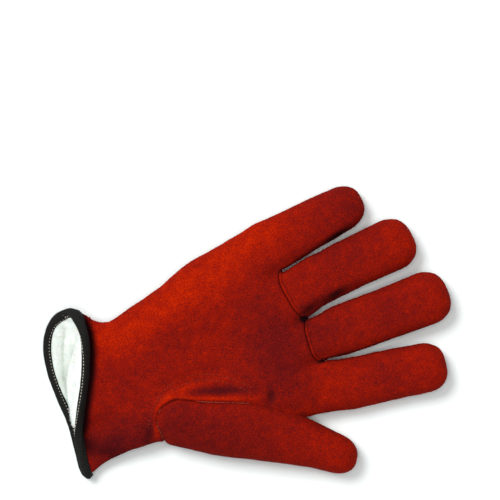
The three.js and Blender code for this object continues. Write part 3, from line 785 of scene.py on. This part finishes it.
def thumbSeamLine():
    # runs from the crotch along the palm to the cuff's end, and round the end to the hand's edge
    line = []
    for lastAngle, start, end, count in ((-60, 46, thumbBase, 120), (240, thumbBase, -12, 60)):
        angles = np.radians(np.linspace(90, lastAngle, 151))
        for along in np.linspace(start, end, count):
            ring = thumbSurface(along, angles)
            height, share = skinHeight("palm", ring[:, 0], ring[:, 1])
            under = np.nonzero((ring[:, 2] < height) & (share > -1))[0]
            if len(under):
                line.append(ring[under[0]])
    return np.array(line)


thumbSeam = thumbSeamLine()

# Seams: the leather rolls in at the seam and a soft welt runs beside it. On the panels each stitch
# pulls a small pucker, and round the thumb's corner the seam is pulled in deep and painted in deeper
# shade. Each roll, welt and shade has a height or strength, a width, and its distance from the seam.
panelSeam = {"roll": (-0.55, 0.55), "welt": (0.3, 1.1, 2.0), "shade": (0.48, 0.28),
             "pitch": 3.4, "pucker": 0.2}
palmThumbSeam = {"roll": (-0.5, 0.6), "welt": (0.5, 1.2, 1.6), "shade": (0.7, 0.35), "corner": (0.25, 0.4)}
thumbSeamForm = {"roll": (-0.55, 0.7), "welt": (0.3, 1.6, 2.6), "shade": (0.75, 0.38), "corner": (0.2, 0.3)}
baseSeam = {"roll": (1, 0.6, 1.05), "raised": 0.55, "paintedRollHighlight": 0.22, "shade": (0.3, 0.28),
            "crease": (1, 0.28, 2.0), "creaseEnds": (0.8, 2.0), "sunk": -0.25, "paintedCreaseShade": 0.42}
thumbCorner = [("corner", -43, -25, 13, 9, 10, 1)]
crotchFades = (22, 34)  # how far along the thumb
leatherWaves = ((26, 0.7), (9, 0.3), (3.5, 0.1))
thumbWaves = ((26, 0.6), (9, 0.25), (3.5, 0.08))


def seamRelief(distance, form, pucker=1):
    return ridge(distance, *form["welt"]) * pucker + ridge(distance, *form["roll"])


def thumbShade(places, distance, form):
    corner = swellsOn(places, thumbCorner)[0]
    strength, width = [here + more * corner for here, more in zip(form["shade"], form["corner"])]
    return ridge(distance, strength, width) * crotchFade(places)


def crotchFade(places):
    # the seam turns under the thumb at the crotch
    return 1 - ramp(places @ thumbForward, *crotchFades)


def shapeLeather(obj, rimBound=False):
    # a sheet's points, how far each is from its sewn edge, and its relief. The rim isn't sewn.
    places = coordinates(obj)
    edge, length = borderLoops(obj)
    if rimBound:
        sewn = (edge[:, 0] > -70) | (np.abs(edge[:, 1]) > 47)
        edge, length = edge[sewn], length[sewn]
    distance, nearest = nearestOn(edge, places)
    pucker = 1 + panelSeam["pucker"] * np.cos(2 * np.pi * length[nearest] / panelSeam["pitch"])
    return places, distance, seamRelief(distance, panelSeam, pucker) + softness(places, leatherWaves)


def finishLeather(obj, node, relief, shade, nap, hidden=None):
    # gives a sheet its relief, tones and thickness, and returns its outer face
    raiseSurface(obj, relief)
    paint(obj, "seamShade", np.clip(shade, 0, 1))
    paint(obj, "napTone", np.clip(nap, 0.02, 1))
    if hidden is not None:
        removePoints(obj, hidden)
    outerFace = treeOf(obj)
    thicken(obj)
    finishPiece(obj, node, redSuede)
    return outerFace


# Extra folds of the palm by the thumb: middle, reach along and across, turn, height
palmFolds = [
    ("valley above the thumb", -9, -23.6, 16, 3.6, -20, -2.6),
    ("ridge along the thumb", -12, -28.2, 24, 2.0, -20, 1.1),
    ("slope behind the thumb", -31, -19, 12, 5, 10, 1.0),
    ("ridge at the arch", -12, -16.5, 20, 2.4, -8, 0.5),
    ("dimple at the crotch", 21.8, -40.5, 2.3, 4.8, -20, -2.0),
    ("pull to the crotch", 8, -33, 16, 3, -38, 0.8),
    ("wrist crease", -56, 4, 5, 26, 0, -0.5),
    ("heel crease", -40, 32, 18, 4, 24, -0.5),
]

# Painted light and shade in the suede's tone, with some stroked nap: lighter on ridges and on the
# upper edge, where light falls, and darker in valleys, folds, dimples and the cuff's low corner,
# where shade falls. Middle, reach along and across, turn, and how much lighter
paintedLightAndNapStrokes = [
    ("edge by the little finger", 0, 47, 64, 15, 16, 0.21),
    ("side of the heel", -52, 28, 22, 14, 20, 0.12),
    ("beside the lapel", -67, 36, 11, 8, 20, 0.22),
    ("below the two middle fingers", 36, -10, 22, 24, 10, -0.25),
    ("below the index finger", 33, -36, 16, 13, 0, -0.16),
    ("middle of the palm", 8, 4, 18, 16, 0, 0.04),
    ("valley above the thumb", -7, -24.6, 18, 2.6, -20, -0.48),
    ("inside of the arch", -17, -16.6, 14, 1.8, -6, 0.16),
    ("slope behind the thumb", -30, -17.5, 11, 3.4, 15, 0.22),
    ("round the thumb's corner", -42.5, -18.4, 9.5, 2.3, 31, 0.3),
    ("ridge along the thumb", -12, -28.4, 24, 1.7, -20, 0.34),
    ("ridge round the thumb's end", -54, -33, 2.2, 9, -20, 0.34),
    ("fold behind the thumb's end", -60, -35, 2.6, 8, -30, -0.36),
    ("thumb's middle", -5, -57, 24, 12, -31, -0.1),
    ("middle of the heel", -72, 5, 16, 16, 0, -0.07),
    ("dimple at the crotch", 22.2, -39.8, 2, 4.6, -20, -0.55),
    ("low corner of the cuff", -82, -36, 20, 15, 0, -0.36),
    ("little finger's root", 50, 62, 22, 10, 5, 0.16),
    ("little finger's end", 112, 62, 16, 18, 6, -0.16),
    ("ring finger's end", 136, 27, 16, 16, 0, 0.13),
    ("ring finger's low root", 72, 5, 16, 9, 8, -0.14),
    ("ring finger's middle", 99, 28, 18, 14, 8, -0.12),
    ("middle finger's root", 68, -14, 15, 12, 0, -0.13),
    ("middle finger's middle", 108, -12, 20, 14, 0, -0.08),
    ("middle finger's end", 144, -15, 14, 16, 0, 0.06),
    ("index finger's root", 64, -42, 16, 14, 0, 0.1),
    ("index finger's middle", 94, -50, 18, 14, 0, -0.07),
    ("index finger's end", 128, -58, 18, 16, 0, 0.05),
    ("thumb's root", -40, -40, 22, 18, -31, -0.2),
    ("thumb's back edge", 0, -70, 40, 8, -31, -0.06),
    ("thumb's end", 52, -86, 18, 16, -31, 0.12),
]

# Where the leather is in deep shade: between the fingers, whose edges are dark on the side towards
# the thumb alone, and by the cuff's low corner. Middle, reach along and across, turn, strength
webShades = [
    ("index and middle", 61, -29.6, 4, 1.3, -4, 1.1),
    ("middle and ring", 59.4, 0.2, 2.9, 2.2, 0, 2),
    ("ring and little", 56.4, 34.2, 2.4, 1.4, 20, 0.8),
]
edgeShades = {
    "middle": [("root", 74, -31, 16, 1.9, -7, 1.2), ("length", 104, -33, 30, 1.6, -2, 0.6)],
    "ring": [("root", 65, 5.2, 8, 3, 16, 0.75), ("length", 84, 8, 11, 2.8, 10, 0.9)],
    "little": [("root", 76, 38.6, 16, 1.6, 12, 0.9), ("length", 97, 43.4, 14, 2.2, 12, 1.1)],
}
cuffShades = [
    ("at the tape", -101, -29, 9, 7, -60, 0.85),
    ("above the low edge", -92, -36, 16, 5, -25, 0.55),
]


def deepShade(places, rows=()):
    return np.minimum(np.max(swellsOn(places, [*webShades, *rows]), axis=0), 1)


# the nap's tone with its painted light and shade
def napAndPaintedLightAt(places, base=0.53):
    return base + sum(swellsOn(places, paintedLightAndNapStrokes))


# Palm panel, with the fronts of the index and little fingers. The thumb opens out of it.
palmForm = {"underThumb": 0.97, "opening": 0.72, "sunk": (-1.2, 2.5), "sunkShade": 0.6,
            "lapelLine": (2.9, 0.1), "lapelShade": 0.96, "lapelFades": (1.4, 6.4)}
palm = addSurface("palmPanel", [handGrid("palm")] + [fingerGrid(fingers[k], "palm") for k in (0, 3)], True)
places, distance, relief = shapeLeather(palm, rimBound=True)
toThumb, _ = nearestOn(thumbSeam, places)
near = thumbNearness(places)
outside = near > palmForm["underThumb"]
byThumb = seamRelief(toThumb, palmThumbSeam) * crotchFade(places)
relief = relief + sum(swellsOn(places, palmFolds))
relief = relief + np.where(outside, byThumb, ridge(toThumb, *palmForm["sunk"]))
lapel = cuffSurface("palm", np.linspace(1.5, allColumns - 0.5, 160), *palmForm["lapelLine"])
toLapel, _ = nearestOn(lapel * (1, 1, 0), places * (1, 1, 0))
underLapel = palmForm["lapelShade"] * (1 - ramp(toLapel, *palmForm["lapelFades"]))
shade = np.max([
    np.where(outside, thumbShade(places, toThumb, palmThumbSeam), palmForm["sunkShade"]),
    np.where(places[:, 0] < wristX, underLapel, 0),
    ridge(distance, *panelSeam["shade"]),
    deepShade(places, edgeShades["little"] + cuffShades),
], axis=0)
palmFace = finishLeather(palm, "palm_panel", relief, shade, napAndPaintedLightAt(places), near < palmForm["opening"])

# Fronts of the middle and ring fingers, sewn on with a raised rolled seam at the base
for finger in fingers[1:3]:
    front = addSurface(finger["name"] + "FingerFront", [fingerGrid(finger, "palm")], True)
    places, distance, relief = shapeLeather(front)
    toBase, _ = nearestOn(fingerGrid(finger, "palm")[0], places)
    roll = ridge(toBase, *baseSeam["roll"])
    crease = ridge(toBase, *baseSeam["crease"]) * ramp(distance, *baseSeam["creaseEnds"])
    # The roll is painted brighter, as a highlight, and the crease beside it darker, as shade.
    relief = relief + baseSeam["raised"] * roll + baseSeam["sunk"] * crease
    shade = np.maximum(ridge(distance, *baseSeam["shade"]), baseSeam["paintedCreaseShade"] * crease)
    shade = np.maximum(shade, deepShade(places, edgeShades[finger["name"]]))
    nap = napAndPaintedLightAt(places) + baseSeam["paintedRollHighlight"] * roll
    finishLeather(front, finger["name"] + "_finger_front", relief, shade, nap)

# The elastic draws the back into pleats: middle, reach along and across, turn, depth
pleats = [
    ("radial edge", -55, -31, 12, 1.5, 12, 0.7),
    ("under the index", -49, -21, 22, 1.7, 9, 1.1),
    ("between index and middle", -66, -12, 12, 1.4, -5, 0.8),
    ("under the middle", -47, -6, 26, 1.8, 3, 1.2),
    ("by the middle", -62, 2, 14, 1.3, 0, 0.7),
    ("under the ring", -48, 10, 22, 1.7, -4, 1.1),
    ("between ring and little", -67, 18, 12, 1.4, 6, 0.8),
    ("under the little", -50, 27, 20, 1.7, -12, 1.0),
]

# Back panel, with the backs of all four fingers. Its relief stays above the floor.
backForm = {"floorGap": 0.02, "nap": 0.46, "pleatShadeInTone": 0.18, "pleatShade": 0.45, "mostShade": 0.6}
grids = [handGrid("back")] + [fingerGrid(finger, "back") for finger in fingers]
back = addSurface("backPanel", grids, False)
places, distance, relief = shapeLeather(back, rimBound=True)
pleat = sum(swellsOn(places, pleats))
relief = np.minimum(relief, np.maximum(places[:, 2] - backForm["floorGap"], 0)) - pleat
# painted shade in the pleats' valleys, both in the shade and in the tone
shade = np.minimum(backForm["pleatShade"] * pleat, backForm["mostShade"])
shade = np.maximum(shade, ridge(distance, *panelSeam["shade"]))
backFace = finishLeather(back, "back_panel", relief, shade, backForm["nap"] - backForm["pleatShadeInTone"] * pleat)
print("stage: hand panels")

# Strips between the fingers run down one finger, round the web and up the next
stripForm = {"columns": 13, "tipRows": 6, "sunk": 0.5, "sunkFrom": 4, "nap": 0.4}


def stripGrid(radial, ulnar):
    rows = fingerRows[1:len(fingerShares) + stripForm["tipRows"]]
    parts = np.linspace(0, 1, stripForm["columns"])
    web = ulnar["first"]
    start = mix(handSurface("palm", web, knuckleX), handSurface("back", web, knuckleX), parts[:, None])

    def row(finger, share, turn):
        seam = mix(seamAngle("palm", share, turn), -seamAngle("back", share, turn), parts)
        ones = np.ones_like(parts)
        return tube(finger, share * ones, turn * ones, np.pi - seam if finger is radial else seam,
                    start, ones, 0.0 * parts)

    down = [row(radial, *each) for each in rows[::-1]]
    return np.array(down + [start] + [row(ulnar, *each) for each in rows])


for radial, ulnar in zip(fingers[:3], fingers[1:]):
    name = radial["name"] + "To" + ulnar["name"].title() + "Strip"
    strip = addSurface(name, [stripGrid(radial, ulnar)], False)
    places, distance, relief = shapeLeather(strip)
    relief = relief - stripForm["sunk"] * (1 - hill(distance / stripForm["sunkFrom"]))
    shade = np.maximum(ridge(distance, *panelSeam["shade"]), deepShade(places))
    node = "fourchette_" + radial["name"] + "_" + ulnar["name"]
    finishLeather(strip, node, relief, shade, stripForm["nap"])
print("stage: strips between the fingers")

# Thumb. Its cuff end closes in smaller and smaller rings, and what the hand hides is left out.
thumbMesh = {"sides": 108, "endRows": 14, "endTo": -22, "rowStep": 1.1, "tipRows": 16, "lastTurn": 88,
             "endRings": (0.95, 0.75, 0.5, 0.3, 0.15, 0.06), "lastRing": 0.2,
             "hiddenBy": 2.2, "hiddenPast": -0.96}
thumbAngles = np.linspace(0, 2 * np.pi, thumbMesh["sides"] + 1)
alongRows = np.concatenate([np.linspace(thumbBase, thumbMesh["endTo"], thumbMesh["endRows"]),
                            np.arange(thumbMesh["endTo"] + 1, thumbTipFrom, thumbMesh["rowStep"])])
body = thumbSurface(alongRows[:, None], thumbAngles)
cap = [body[0] * (1 - k) + body[0].mean(axis=0) * k for k in thumbMesh["endRings"]]
tip = thumbSurface(thumbTipFrom, thumbAngles,
                   np.radians(np.linspace(0, thumbMesh["lastTurn"], thumbMesh["tipRows"]))[:, None])
last = tip[-1] * thumbMesh["lastRing"] + tip[-1].mean(axis=0) * (1 - thumbMesh["lastRing"])
thumb = addSurface("setInThumb", [np.concatenate([cap, body, tip, [last]])], False)


def closeEnds(bm):
    for end, way in ((thumbBase, -1), (thumbTipFrom + thumbTipLength, 1)):
        ring = [edge for edge in bm.edges if edge.is_boundary
                and (Vector(thumbForward).dot(edge.verts[0].co / mm) - end) * way > -2]
        bmesh.ops.holes_fill(bm, edges=ring)


editMesh(thumb.data, closeEnds)
places = coordinates(thumb)
toSeam, _ = nearestOn(thumbSeam, places)
above, share = skinHeight("palm", places[:, 0], places[:, 1])
below, _ = skinHeight("back", places[:, 0], places[:, 1])
hiddenBy = thumbMesh["hiddenBy"]
buried = (places[:, 2] < above - hiddenBy) & (places[:, 2] > below + hiddenBy)
buried &= share > thumbMesh["hiddenPast"]
relief = softness(places, thumbWaves) + seamRelief(toSeam, thumbSeamForm) * crotchFade(places)
shade = thumbShade(places, toSeam, thumbSeamForm)
finishLeather(thumb, "thumb", relief, shade, napAndPaintedLightAt(places, 0.5), buried)
print("stage: thumb")

# Lining: its inner face is the one that shows. It has a crease along the cuff and lies in shade on
# the back of the glove, darkest in one hollow.
liningForm = {
    "lastX": 40, "intoHand": 2.5, "deepens": (-58, -44), "pressedFrom": 0.75, "thickness": 0.9,
    "raised": 0.25, "crease": (1.0, 1.1), "sides": (-62, 38), "inside": 1.7, "reach": 5,
    "creaseShade": (0.7, 0.7), "backShade": 0.3, "backZ": 16, "backFade": 8,
}
liningWaves = ((14, 0.5), (4, 0.3), (1.6, 0.18))
liningCrease = [(-89.5, 46.5), (-94.3, 37), (-100, 20.9), (-102.8, 6.4), (-104.8, -3)]
liningHollow = [("hollow", -101, 17, 5, 9, -20, 0.4)]
intoHand = liningForm["intoHand"] * ramp(handRows[handRows <= liningForm["lastX"]], *liningForm["deepens"])
pressed = -(fleece - fleecePressed) * ramp(cuffRows[:-1], liningForm["pressedFrom"], 1)
liningFace = liningDepth + fleece + np.concatenate([pressed, intoHand])[:, None]
lining = addSurface("fleeceLining", [handGrid("palm", liningFace, liningForm["lastX"])], False)
liningBack = addSurface("fleeceLiningBack", [handGrid("back", liningFace, liningForm["lastX"])], True)
selectOnly(lining, liningBack)
bpy.ops.object.join()
editMesh(lining.data, lambda bm: bmesh.ops.remove_doubles(bm, verts=bm.verts, dist=0.05 * mm))
places = coordinates(lining)
crease = points(*smoothLine(liningCrease, 60).T, 0)
toCrease, _ = nearestOn(crease, places * (1, 1, 0))
furrow = ridge(toCrease, *liningForm["crease"])
raiseSurface(lining, liningForm["raised"] - furrow + softness(places, liningWaves))
moved = coordinates(lining)  # where the cuff's sides turn, the lining stays inside the leather
farX, farY = liningForm["sides"]
for k in np.nonzero((moved[:, 0] < farX) & (moved[:, 1] > farY))[0]:
    hit, normal, _, gap = palmFace.find_nearest(Vector(moved[k] * mm))
    past = (moved[k] - np.array(hit) / mm) @ np.array(normal) + liningForm["inside"]
    if past > 0 and gap < liningForm["reach"] * mm:
        moved[k] -= np.array(normal) * past
moveTo(lining, moved)
# painted shade: the crease, the lining on the back of the glove and one hollow are painted darker
onBack = ramp(liningForm["backZ"] - places[:, 2], 0, liningForm["backFade"])
backShade = liningForm["backShade"] + swellsOn(places, liningHollow)[0]
paint(lining, "foldShade", np.clip(ridge(toCrease, *liningForm["creaseShade"]) + backShade * onBack, 0, 1))
thicken(lining, liningForm["thickness"])
finishPiece(lining, "cuff_lining", whiteFleece)
print("stage: lining")

# Binding: the tape folded over the rim. Rows as in cuffSurface, depths below the leather: outwards
# over the rim, back on the inside, and the same way home
tapeSection = np.array([
    (1.0, -0.5), (1.05, -0.95), (1.2, -1.2), (1.6, -1.35), (2.0, -1.3), (2.5, -0.8), (2.9, 0.1), (3.05, 1.4),
    (2.9, 2.7), (2.5, 3.7), (2.0, 4.15), (1.6, 4.2), (1.2, 4.05), (1.05, 3.8), (1.0, 3.4),
    (1.04, 3.15), (1.5, 3.2), (2.0, 3.25), (2.25, 2.6), (2.3, 1.4), (2.25, 0.3), (2.0, -0.4), (1.5, -0.35),
    (1.04, -0.3),
])
crestPoint = 7
# Where less of the tape is folded inwards: the column, reach in columns, and share of its width
tapeNarrowed = {"palm": [(18, 2.8, 0.4), (4.6, 2.0, 0.4)], "back": [(6, 2.2, 0.45)]}


def narrowing(side, number):
    return sum(share * hill((number - middle) / reach) for middle, reach, share in tapeNarrowed[side])


def tapeRing(side, number):
    rows, depths = tapeSection.T
    narrower = np.where(depths > 2.8, narrowing(side, number), 0)
    return cuffSurface(side, number, rows + narrower * np.maximum(2 - rows, 0), depths - 1.4 * narrower)


def faceOutwards(bm):
    if bm.calc_volume(signed=True) < 0:
        bmesh.ops.reverse_faces(bm, faces=bm.faces)


def runAlong(line):
    return np.concatenate([[0], np.cumsum(np.linalg.norm(np.diff(line, axis=0), axis=1))])


ringNumbers = np.linspace(0, allColumns, 190)
rings = [tapeRing("palm", n) for n in ringNumbers] + [tapeRing("back", n) for n in ringNumbers[::-1][1:-1]]
rings = np.array(rings + rings[:1])
binding = addSurface("cuffBinding", [np.concatenate([rings, rings[:, :1]], axis=1)], False)
editMesh(binding.data, faceOutwards)
places = coordinates(binding)
crest = rings[:, crestPoint]
_, nearest = nearestOn(crest, places)
raiseSurface(binding, softness(places, ((11, 0.3), (3, 0.12))))
paint(binding, "tapeRun", runAlong(crest)[nearest])
bindingTree = treeOf(binding)
finishPiece(binding, "cuff_binding", blackTape)
print("stage: binding")

# Thread: tubes of six sides
threadAngles = [math.radians(60 * k) for k in range(6)]
stitchRows = (0.0, 0.12, 0.35, 0.65, 0.88, 1.0)


def threadRing(centre, side, up, radius):
    return [tuple((centre + up * radius * math.sin(a) + side * radius * math.cos(a)) * mm)
            for a in threadAngles]


def threadFaces(first, rows):
    # the faces between a tube's rings, and one on each end
    sides = len(threadAngles)
    rings = [[first + k * sides + j for j in range(sides)] for k in range(rows)]
    faces = [(ring[j], ring[(j + 1) % sides], upper[(j + 1) % sides], upper[j])
             for ring, upper in zip(rings, rings[1:]) for j in range(sides)]
    return faces + [tuple(rings[0][::-1]), tuple(rings[-1])]


def addThread(name, verts, faces, material):
    thread = addMesh(name, verts, faces, lambda bm: bmesh.ops.recalc_face_normals(bm, faces=bm.faces))
    finishPiece(thread, None, material)


def addStitches(name, line, outward, form, slotName, material):
    # one capsule of thread, copied along a line of points in mm, with the outward way at each
    line, outward = np.array(line), np.array(outward)
    run = runAlong(line)

    def at(values, s):
        return np.array([np.interp(s, run, values[:, k]) for k in range(3)])

    verts, faces = [], []
    s = form["pitch"] * 0.4
    while s + form["length"] < run[-1]:
        long = form["length"] * rng.uniform(0.9, 1.1)
        sway = rng.uniform(-0.12, 0.12)
        along = unit(at(line, s + long) - at(line, s))
        faces += threadFaces(len(verts), len(stitchRows))
        for part in stitchRows:
            up = unit(at(outward, s + part * long))
            side = np.cross(up, along)
            arch = math.sin(math.pi * part)
            lift = form["lift"] * arch - form["sink"] * (1 - arch)
            centre = at(line, s + part * long) + up * lift + side * sway * (part - 0.5)
            verts += threadRing(centre, side, up, form["radius"] * math.sin(math.pi * (0.12 + 0.76 * part)))
        s += form["pitch"]
    addThread(name, verts, faces, material)


def dropOn(tree, line, direction):
    # lays a flat line of (x, y) on a surface, from above or below
    found, outward = [], []
    for x, y in line:
        start = Vector((x * mm, y * mm, -direction * 0.1))
        hit, normal, _, _ = tree.ray_cast(start, Vector((0, 0, direction)))
        if hit is not None:
            found.append(np.array(hit) / mm)
            outward.append(np.array(-normal if normal.z * direction > 0 else normal))
    return found, outward


# Two rows that hold the thumb's keystone to the palm
archStitch = {"pitch": 2.3, "length": 1.5, "radius": 0.26, "lift": 0.18, "sink": 0.15}
archLines = {
    "Outer": [(-60, -33), (-55.2, -24.2), (-49.5, -18.3), (-42.4, -12.9), (-33.7, -9.7), (-25.3, -8.8),
              (-16.4, -10.3), (-8, -13.4), (-0.4, -18.2), (6.6, -23.6), (12.5, -30.2)],
    "Inner": [(-47.8, -19.3), (-41.4, -15.6), (-32.7, -13.7), (-26.9, -13), (-17.7, -14), (-12, -15.9),
              (-5.4, -19.3), (1, -23.5), (7, -28.8), (11.2, -33.8)],
}
for row, corners in archLines.items():
    line, outward = dropOn(palmFace, smoothLine(corners, 160), -1)
    addStitches("archStitches" + row, line, outward, archStitch, "suede", redThread)

# Two rows of elastic across the back of the wrist
elasticStitch = {"pitch": 2.8, "length": 1.9, "radius": 0.3, "lift": 0.25, "sink": 0.1}
for row, x in (("Hand", wristX + 2.5), ("Cuff", wristX - 2.5)):
    line, outward = dropOn(backFace, [(x, y) for y in np.linspace(-38, 37, 200)], 1)
    addStitches("elasticStitches" + row, line, outward, elasticStitch, "suede", redThread)

# The binding's stitches, near the tape's inner edge and on its outer face
tapeStitch = {"pitch": 2.1, "length": 1.4, "radius": 0.3, "lift": 0.14, "sink": 0.1}
threadPulled = {"palm": 0.0, "back": 0.24}  # how deep the thread is pulled into the tape


def tapeLine(rows, depth, step):
    line, outward = [], []
    places = [("palm", n) for n in np.linspace(0, allColumns, 300)]
    places += [("back", n) for n in np.linspace(allColumns, 0, 300)]
    for side, n in places[:-1]:
        row = rows[side]
        if depth > 0:
            row = row + narrowing(side, n) * (2 - row)
        here = cuffSurface(side, n, row, depth)
        away = cuffSurface(side, n, row, depth + step)
        out = unit(away - here)
        hit, _, _, _ = bindingTree.ray_cast(Vector((here + out * 2.5) * mm), Vector(-out))
        if hit is not None and np.linalg.norm(np.array(hit) / mm - here) < 2:
            line.append(np.array(hit) / mm - out * threadPulled[side])
            outward.append(out)
    return line, outward


insideLine = tapeLine({"palm": 1.75, "back": 1.28}, 4.1, 0.5)
outsideLine = tapeLine({"palm": 1.25, "back": 1.25}, -1.25, -0.5)
addStitches("tapeStitchesInside", *insideLine, tapeStitch, "tape", paleThread)
addStitches("tapeStitchesOutside", *outsideLine, tapeStitch, "tape", blackThread)
print("stage: stitches")

# A thin raw edge of leather shows along the thumb's seam, but sinks in round the corner
edgeForm = {"radius": 0.2, "lift": 0.1, "sunk": 0.7, "until": 30}


def addThumbEdge():
    line = thumbSeam[::2]
    line = line[line @ thumbForward < edgeForm["until"]]
    line = line - points(0, 0, edgeForm["sunk"] * swellsOn(line, thumbCorner)[0])
    verts = []
    for k, place in enumerate(line):
        along = unit(line[min(k + 1, len(line) - 1)] - line[max(k - 1, 0)])
        side = unit(np.cross(along, (0, 0, 1)))
        fromEnd = min(k, len(line) - 1 - k)
        radius = edgeForm["radius"] * min(1, 0.3 + fromEnd * 0.2)
        verts += threadRing(place + (0, 0, edgeForm["lift"]), side, np.cross(side, along), radius)
    addThread("thumbSeamEdge", verts, threadFaces(0, len(line)), rawEdge)


addThumbEdge()

# Tufts of the fleece stand up inside the mouth
pileForm = {"count": 9000, "length": 0.95, "width": 0.14, "onPalm": 0.6, "lean": 0.7, "shade": 0.1}


def addPile():
    verts, faces = [], []
    for _ in range(pileForm["count"]):
        side = "palm" if rng.random() < pileForm["onPalm"] else "back"
        n = rng.uniform(1.2, allColumns - 2.2)
        row = rng.uniform(0.25, 0.93)
        here = cuffSurface(side, n, row, liningDepth + fleece)
        away = cuffSurface(side, n, row, liningDepth + fleece + 0.5)
        up = unit(away - here)
        lean = np.array([rng.uniform(-1, 1) for _ in range(3)]) * pileForm["lean"]
        long = pileForm["length"] * rng.uniform(0.5, 1.1)
        across = unit(np.cross(up, lean + 0.01)) * pileForm["width"]
        bend = here + (up + lean * 0.5) * long * 0.55
        first = len(verts)
        for place, share in ((here - up * 0.3, 1), (bend, 0.8)):
            verts += [tuple((place - across * share) * mm), tuple((place + across * share) * mm)]
        verts.append(tuple((here + (up + lean) * long * 0.9) * mm))
        faces += [(first, first + 1, first + 3, first + 2), (first + 2, first + 3, first + 4)]
    pile = addMesh("fleecePile", verts, faces)
    # a little painted shade on every tuft
    paint(pile, "foldShade", pileForm["shade"])
    finishPiece(pile, None, whiteFleece)


addPile()
print("stage: fleece pile")

# Camera straight above, rolled so that the hand points up to the right. Metres and degrees
view = {"middle": (0.0418, 0.0540), "height": 0.012 + 2.4, "distance": 2.4, "width": 0.325, "roll": 20}
cameraData = bpy.data.cameras.new("camera")
cameraData.sensor_width = 36
cameraData.lens = 36 * view["distance"] / view["width"]
camera = addObject("camera", cameraData)
camera.location = (*view["middle"], view["height"])
camera.rotation_euler = (0, 0, -math.radians(view["roll"]))
bpy.context.scene.camera = camera

# Pale floor
bpy.ops.mesh.primitive_plane_add(size=6, location=(0, 0, 0))
floor = bpy.context.object
floor.name = "floor"
floorLook = {"Base Color": hexColour("#F6FCFB"), "Roughness": 1.0, "Specular IOR Level": 0.1}
floorMaterial, tree = newMaterial("paleFloor")
shader = addNode(tree, "ShaderNodeBsdfPrincipled", floorLook)
addNode(tree, "ShaderNodeOutputMaterial", {}, {"Surface": shader.outputs[0]})
floor.data.materials.append(floorMaterial)

# Soft light from the upper left of the picture, a softer one from straight above, and a pale
# surround. Strength is a share of what turns the white floor white.
lights = {"key": 0.55, "keyHeight": 56, "keySoft": 26, "top": 0.4, "topSoft": 30, "surround": 0.24}
roll = math.radians(view["roll"])
pictureRight = np.array([math.cos(roll), -math.sin(roll), 0])
pictureUp = np.array([math.sin(roll), math.cos(roll), 0])
keyHeight = math.radians(lights["keyHeight"])
towardsKey = (-pictureRight * 0.72 + pictureUp * 0.69) * math.cos(keyHeight) + (0, 0, math.sin(keyHeight))


def addSun(name, towards, strength, soft):
    data = bpy.data.lights.new(name, "SUN")
    data.angle = math.radians(soft)
    data.energy = math.pi * strength / max(towards[2], 0.2)
    sun = addObject(name, data)
    sun.location = Vector(towards)
    sun.rotation_euler = Vector(towards).to_track_quat("Z", "Y").to_euler()


addSun("key", towardsKey, lights["key"], lights["keySoft"])
addSun("top", (0, 0, 1), lights["top"], lights["topSoft"])
world = bpy.data.worlds.new("surround")
bpy.context.scene.world = world
world.use_nodes = True
background = world.node_tree.nodes["Background"]
background.inputs["Color"].default_value = hexColour("#FBFCFC")
background.inputs["Strength"].default_value = lights["surround"]
bpy.context.scene.view_settings.view_transform = "Standard"
print("stage: camera, floor and light")
